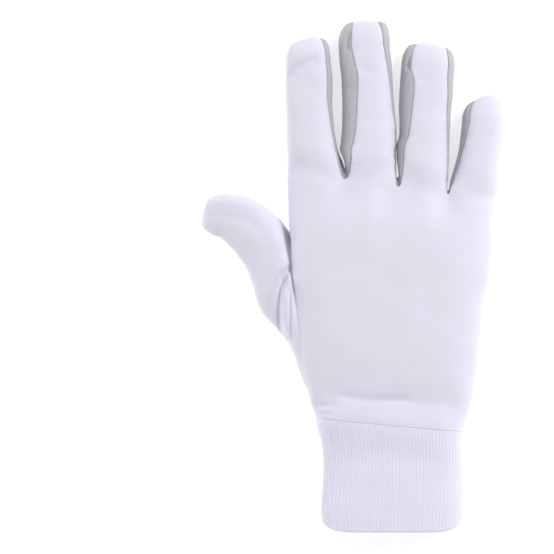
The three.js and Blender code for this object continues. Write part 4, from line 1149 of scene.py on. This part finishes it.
def cuff_mesh(sizes):
    """Ribbed knit outside, with a rounded hem, a plain inside, and a tongue that reaches under the hand's
    cloth. Its top follows the hand's section at the seam and passes into the cuff's own over PUFF on_cuff."""
    columns = RIBS * RIB["steps"]
    lengths, angles = cuff_lengths()
    girth = lengths[-1]
    place = np.arange(columns) / columns * girth
    straight = np.interp(place, lengths, angles)
    wall = sizes.cuff_wall / MM
    wrist = hand_point(CUFF_SEAM["y"], straight)
    top = wrist[:, 1]
    bottom = CUFF_BOTTOM + HEM["round"]
    y = mix(top + TUCK["length"], bottom, np.linspace(0, 1, CUFF_ROWS + 1)[:, None] ** CUFF_ROW_POWER)
    angle = np.interp((place + rib_shift(y, straight, top)) % girth, lengths, angles)
    depth = rib_depth(y, straight, top, sizes.rib_height / MM)
    depth = depth + dent_depth(cuff_point(y, angle, 0.0)[..., 0], y, angle, top, bottom)
    depth = depth + TUCK["depth"] * smooth((y - top) / TUCK["length"] + 0.5)
    shape = cuff_point(y, angle, depth)
    joint = wrist - cuff_point(top, straight, 0.0)
    shape += joint[None] * (1 - smooth((top - y) / PUFF["on_cuff"]))[..., None]
    shape[..., 1] += hem_rise(shape[..., 0]) * smooth((HEM["from"] - y) / HEM["over"])

    reach, tongue_depth = np.array([
        [TONGUE["shoulder"], wall],
        [TONGUE["reach"], (wall + TONGUE["depth"]) / 2],
        [TONGUE["shoulder"], TONGUE["depth"]],
        [TONGUE["foot"], TONGUE["foot_depth"]],
    ]).T[..., None]
    tongue = cuff_point(top + reach, straight, tongue_depth) + joint[None]

    turn = np.linspace(0, math.pi, 9)[1:, None]
    hem_depth = mix(wall, depth[-1], 0.5 + 0.5 * np.cos(turn))
    hem = cuff_point(np.full_like(hem_depth, bottom), angle[-1], hem_depth)
    hem[..., 1] = bottom - HEM["round"] * np.sin(turn) + hem_rise(hem[..., 0])

    inner_y = y[::-1][INSIDE_STEP:-1:INSIDE_STEP]
    inner = cuff_point(inner_y, angle[::-1][INSIDE_STEP:-1:INSIDE_STEP], wall)
    inner[..., 1] += hem_rise(inner[..., 0]) * smooth((HEM["from"] - inner_y) / HEM["over"])
    loop = np.concatenate([tongue, shape, hem, inner])
    n, m = loop.shape[:2]
    ids = np.arange(n * m).reshape(n, m)
    down = np.roll(ids, -1, axis=0)
    right = np.roll(ids, -1, axis=1)
    both = np.roll(down, -1, axis=1)
    faces = np.stack([ids, right, both, down], -1).reshape(-1, 4)
    flat = np.stack([np.broadcast_to(place, (n, m)), loop[..., 1]], -1).reshape(-1, 2) * MM
    seam = np.full(n * m, FAR_FROM_SEAM)
    sharp = np.repeat(np.arange(n) < len(tongue), m)
    return put_mesh("cuff", loop.reshape(-1, 3) * MM, faces, flat, seam, sharp)


def hem_rise(x):
    """The hem is higher at its two corners, by a power of the distance from its middle."""
    left = CUFF["left"][0]
    right = CUFF["right"][0]
    across = np.clip((2 * x - left - right) / (right - left), -1.05, 1.05)
    return HEM["corner_rise"] * np.abs(across) ** HEM["corner_power"]


# Materials

def new_material(name):
    """A new material, its node tree and its shader."""
    material = bpy.data.materials.new(name)
    material.use_nodes = True
    return material, material.node_tree, material.node_tree.nodes["Principled BSDF"]


def add_node(tree, kind, inputs):
    """A new node, with a value or a link for each of the named inputs."""
    made = tree.nodes.new(kind)
    set_inputs(tree, made, inputs)
    return made


def set_inputs(tree, node, inputs):
    """Sets a node's inputs: an output is linked, and anything else is the input's value."""
    for name, value in inputs.items():
        if isinstance(value, bpy.types.NodeSocket):
            tree.links.new(value, node.inputs[name])
        else:
            node.inputs[name].default_value = value


def bands(tree, place, direction, size, distortion=0.4):
    """Sine bands that repeat at the given size, in metres."""
    texture = add_node(tree, "ShaderNodeTexWave", {
        "Scale": math.pi / 10 / size, "Distortion": distortion, "Vector": place})
    texture.bands_direction = direction
    return texture.outputs["Fac"]


def between(tree, value, low, high, full=1.0):
    """Goes from low to high as the value goes from 0 to full."""
    return add_node(tree, "ShaderNodeMapRange", {
        "Value": value, "From Max": full, "To Min": low, "To Max": high}).outputs["Result"]


def product(tree, first, second):
    """The first value times the second."""
    made = add_node(tree, "ShaderNodeMath", {0: first, 1: second})
    made.operation = "MULTIPLY"
    return made.outputs[0]


def tint(tree, color, share):
    """The colour made darker or lighter by a share."""
    made = add_node(tree, "ShaderNodeVectorMath", {0: color})
    made.operation = "SCALE"
    set_inputs(tree, made, {"Scale": share})
    return made.outputs["Vector"]


def bump(tree, height, strength, distance):
    """A normal from a height."""
    return add_node(tree, "ShaderNodeBump", {
        "Strength": strength, "Distance": distance, "Height": height}).outputs["Normal"]


def cloth_material(name, color):
    """Knit cloth: wales times courses, as sine bands on the piece's flat layout, give the relief, and soft
    noise varies the colour a little. Painted shade makes its colour darker along its seams and at the bottoms
    of the gaps between the fingers."""
    cloth = CLOTHS[name]
    material, tree, shader = new_material(name)
    place = tree.nodes.new("ShaderNodeUVMap")
    place.uv_map = "Cloth"
    knit = product(tree, bands(tree, place.outputs["UV"], "X", cloth["wales"]),
                   bands(tree, place.outputs["UV"], "Y", cloth["courses"]))
    coordinates = tree.nodes.new("ShaderNodeTexCoord")
    noise = add_node(tree, "ShaderNodeTexNoise", {
        "Scale": 60, "Detail": 4, "Vector": coordinates.outputs["Object"]})
    seam = tree.nodes.new("ShaderNodeAttribute")
    seam.attribute_name = "seam"
    mottled = between(tree, noise.outputs["Fac"], 1 - MOTTLE, 1 + MOTTLE)
    # Painted shade: the colour darkens towards a seam, standing in for the shadow in its groove
    shaded = between(tree, seam.outputs["Fac"], SEAM["painted_shade"], 1.0, SEAM["painted_shade_width"])
    set_inputs(tree, shader, {
        "Roughness": cloth["roughness"], "Sheen Weight": cloth["sheen"], "Sheen Roughness": 0.5,
        "Specular IOR Level": 0.25, "Normal": bump(tree, knit, 0.6, cloth["relief"]),
        "Base Color": tint(tree, color, product(tree, mottled, shaded))})
    return material


def thread_material(name, color):
    """Twisted cotton thread: slanting sine bands, fine against its thickness, and soft colour changes."""
    material, tree, shader = new_material(name)
    coordinates = tree.nodes.new("ShaderNodeTexCoord")
    twist = bands(tree, coordinates.outputs["Object"], "DIAGONAL", THREAD_TWIST, 0.0)
    set_inputs(tree, shader, {
        "Roughness": 0.7, "Sheen Weight": 0.3, "Normal": bump(tree, twist, 0.4, 0.00003),
        "Base Color": tint(tree, color, between(tree, twist, 0.9, 1.04))})
    return material


def dress(piece, material, slot, *nodes):
    """Gives a piece its material and its body, and hides the frame's nodes that it stands for. The slot is
    not used.
    """
    piece.data.materials.clear()
    piece.data.materials.append(material)
    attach(piece, "root")
    if nodes:
        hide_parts(*nodes)
    return piece


# Operators

class GLOVE_OT_back(bpy.types.Operator):
    """Make the smooth cloth of the back, from the cuff to the fingertips"""
    bl_idname = "glove.back"
    bl_label = "Back"

    def execute(self, context):
        sizes = context.scene.glove_sizes
        piece = cloth_mesh("back_cloth", glove_skin(sizes), "back", sizes.back_wall / MM)
        material = cloth_material("Back cloth", context.scene.glove_colours.back)
        dress(piece, material, "back_cloth", "back_panel")
        return {"FINISHED"}


class GLOVE_OT_palm(bpy.types.Operator):
    """Make the padded knit of the palm"""
    bl_idname = "glove.palm"
    bl_label = "Palm"

    def execute(self, context):
        sizes = context.scene.glove_sizes
        piece = cloth_mesh("palm_knit", glove_skin(sizes), "palm", sizes.palm_wall / MM)
        material = cloth_material("Palm knit", context.scene.glove_colours.palm)
        dress(piece, material, "palm_knit", "palm_panel")
        return {"FINISHED"}


class GLOVE_OT_thumb(bpy.types.Operator):
    """Make the two cloths of the thumb"""
    bl_idname = "glove.thumb"
    bl_label = "Thumb"

    def execute(self, context):
        sizes = context.scene.glove_sizes
        colours = context.scene.glove_colours
        upper = cloth_mesh("thumb_back_cloth", glove_skin(sizes), "thumb_back", sizes.thumb_wall / MM)
        lower = cloth_mesh("thumb_front_knit", glove_skin(sizes), "thumb_front", sizes.thumb_wall / MM)
        dress(upper, cloth_material("Thumb cloth", colours.back), "back_cloth", "thumb_back")
        dress(lower, cloth_material("Thumb knit", colours.palm), "palm_knit", "thumb_front")
        return {"FINISHED"}


class GLOVE_OT_strips(bpy.types.Operator):
    """Make the three gray strips between the fingers"""
    bl_idname = "glove.strips"
    bl_label = "Gray strips"

    def execute(self, context):
        sizes = context.scene.glove_sizes
        material = cloth_material("Gray cloth", context.scene.glove_colours.strip)
        for f in range(len(FINGERS) - 1):
            pair = f"{FINGERS[f]['name']}_{FINGERS[f + 1]['name']}"
            piece = cloth_mesh(f"gray_strip_{pair}", glove_skin(sizes), f"strip_{f}", sizes.strip_wall / MM)
            dress(piece, material, "gray_strip", f"fourchette_{pair}")
        return {"FINISHED"}


class GLOVE_OT_stitches(bpy.types.Operator):
    """Sew the seams beside the gray strips"""
    bl_idname = "glove.stitches"
    bl_label = "Stitches"

    def execute(self, context):
        piece = stitch_mesh("seam_stitches", context.scene.glove_sizes)
        dress(piece, thread_material("Thread", context.scene.glove_colours.thread), "back_cloth")
        return {"FINISHED"}


class GLOVE_OT_cuff(bpy.types.Operator):
    """Make the ribbed cuff"""
    bl_idname = "glove.cuff"
    bl_label = "Cuff"

    def execute(self, context):
        piece = cuff_mesh(context.scene.glove_sizes)
        material = cloth_material("Rib knit", context.scene.glove_colours.cuff)
        dress(piece, material, "rib_knit", "wrist_cuff")
        return {"FINISHED"}


class GLOVE_OT_stage(bpy.types.Operator):
    """Make the floor, the lights and the camera"""
    bl_idname = "glove.stage"
    bl_label = "Stage"

    def execute(self, context):
        scene = context.scene
        corners = np.array([[-1, -1, 0], [1, -1, 0], [1, 1, 0], [-1, 1, 0]]) * FLOOR["half"]
        floor = put_mesh("floor", corners, np.array([[0, 1, 2, 3]]))
        paint, tree, shader = new_material("Floor")
        set_inputs(tree, shader, {
            "Base Color": (*scene.glove_colours.floor, 1), "Roughness": 0.9, "Specular IOR Level": 0.1,
            "Emission Color": (1, 1, 1, 1), "Emission Strength": FLOOR["glow"]})
        floor.data.materials.append(paint)

        world = bpy.data.worlds.new("Studio")
        world.use_nodes = True
        set_inputs(world.node_tree, world.node_tree.nodes["Background"], STUDIO)
        scene.world = world
        for light in LIGHTS:
            area_light(**light)

        scene.view_settings.view_transform = "Standard"
        lens = bpy.data.cameras.new("Camera")
        lens.sensor_width = VIEW["sensor"]
        lens.lens = VIEW["sensor"] * VIEW["height"] / VIEW["width"]
        lens.clip_end = VIEW["reach"]
        camera = bpy.data.objects.new("Camera", lens)
        camera.location = (VIEW["x"], VIEW["y"], VIEW["height"])
        scene.collection.objects.link(camera)
        scene.camera = camera
        return {"FINISHED"}


def area_light(name, place, size, power):
    """A soft square light that points at the glove."""
    light = bpy.data.lights.new(name, "AREA")
    light.energy = power
    light.size = size
    lamp = bpy.data.objects.new(name, light)
    lamp.location = place
    direction = -lamp.location.normalized()
    lamp.rotation_euler = direction.to_track_quat("-Z", "Y").to_euler()
    bpy.context.scene.collection.objects.link(lamp)
    return lamp


class GLOVE_PT_panel(bpy.types.Panel):
    """Lists the glove's sizes, colours and pieces"""
    bl_idname = "GLOVE_PT_panel"
    bl_label = "Inner glove"
    bl_space_type = "VIEW_3D"
    bl_region_type = "UI"
    bl_category = "Glove"

    def draw(self, context):
        layout = self.layout
        for title, group in (("Sizes", context.scene.glove_sizes), ("Colours", context.scene.glove_colours)):
            box = layout.box()
            box.label(text=title)
            for name in group.__annotations__:
                box.prop(group, name)
        column = layout.column()
        for operator in OPERATORS:
            column.operator(operator.bl_idname)


OPERATORS = (GLOVE_OT_back, GLOVE_OT_palm, GLOVE_OT_thumb, GLOVE_OT_strips, GLOVE_OT_stitches, GLOVE_OT_cuff,
             GLOVE_OT_stage)
CLASSES = (GloveSizes, GloveColours, *OPERATORS, GLOVE_PT_panel)


def register():
    """Adds the glove's sizes, colours, operators and panel."""
    for each in CLASSES:
        bpy.utils.register_class(each)
    bpy.types.Scene.glove_sizes = bpy.props.PointerProperty(type=GloveSizes)
    bpy.types.Scene.glove_colours = bpy.props.PointerProperty(type=GloveColours)


def unregister():
    """Takes them away again."""
    del bpy.types.Scene.glove_colours
    del bpy.types.Scene.glove_sizes
    for each in reversed(CLASSES):
        bpy.utils.unregister_class(each)


def main():
    """Makes every piece."""
    register()
    bpy.ops.glove.back()
    bpy.ops.glove.palm()
    bpy.ops.glove.thumb()
    bpy.ops.glove.strips()
    bpy.ops.glove.stitches()
    bpy.ops.glove.cuff()
    bpy.ops.glove.stage()
    bpy.context.view_layer.update()


if __name__ == "__main__":
    main()
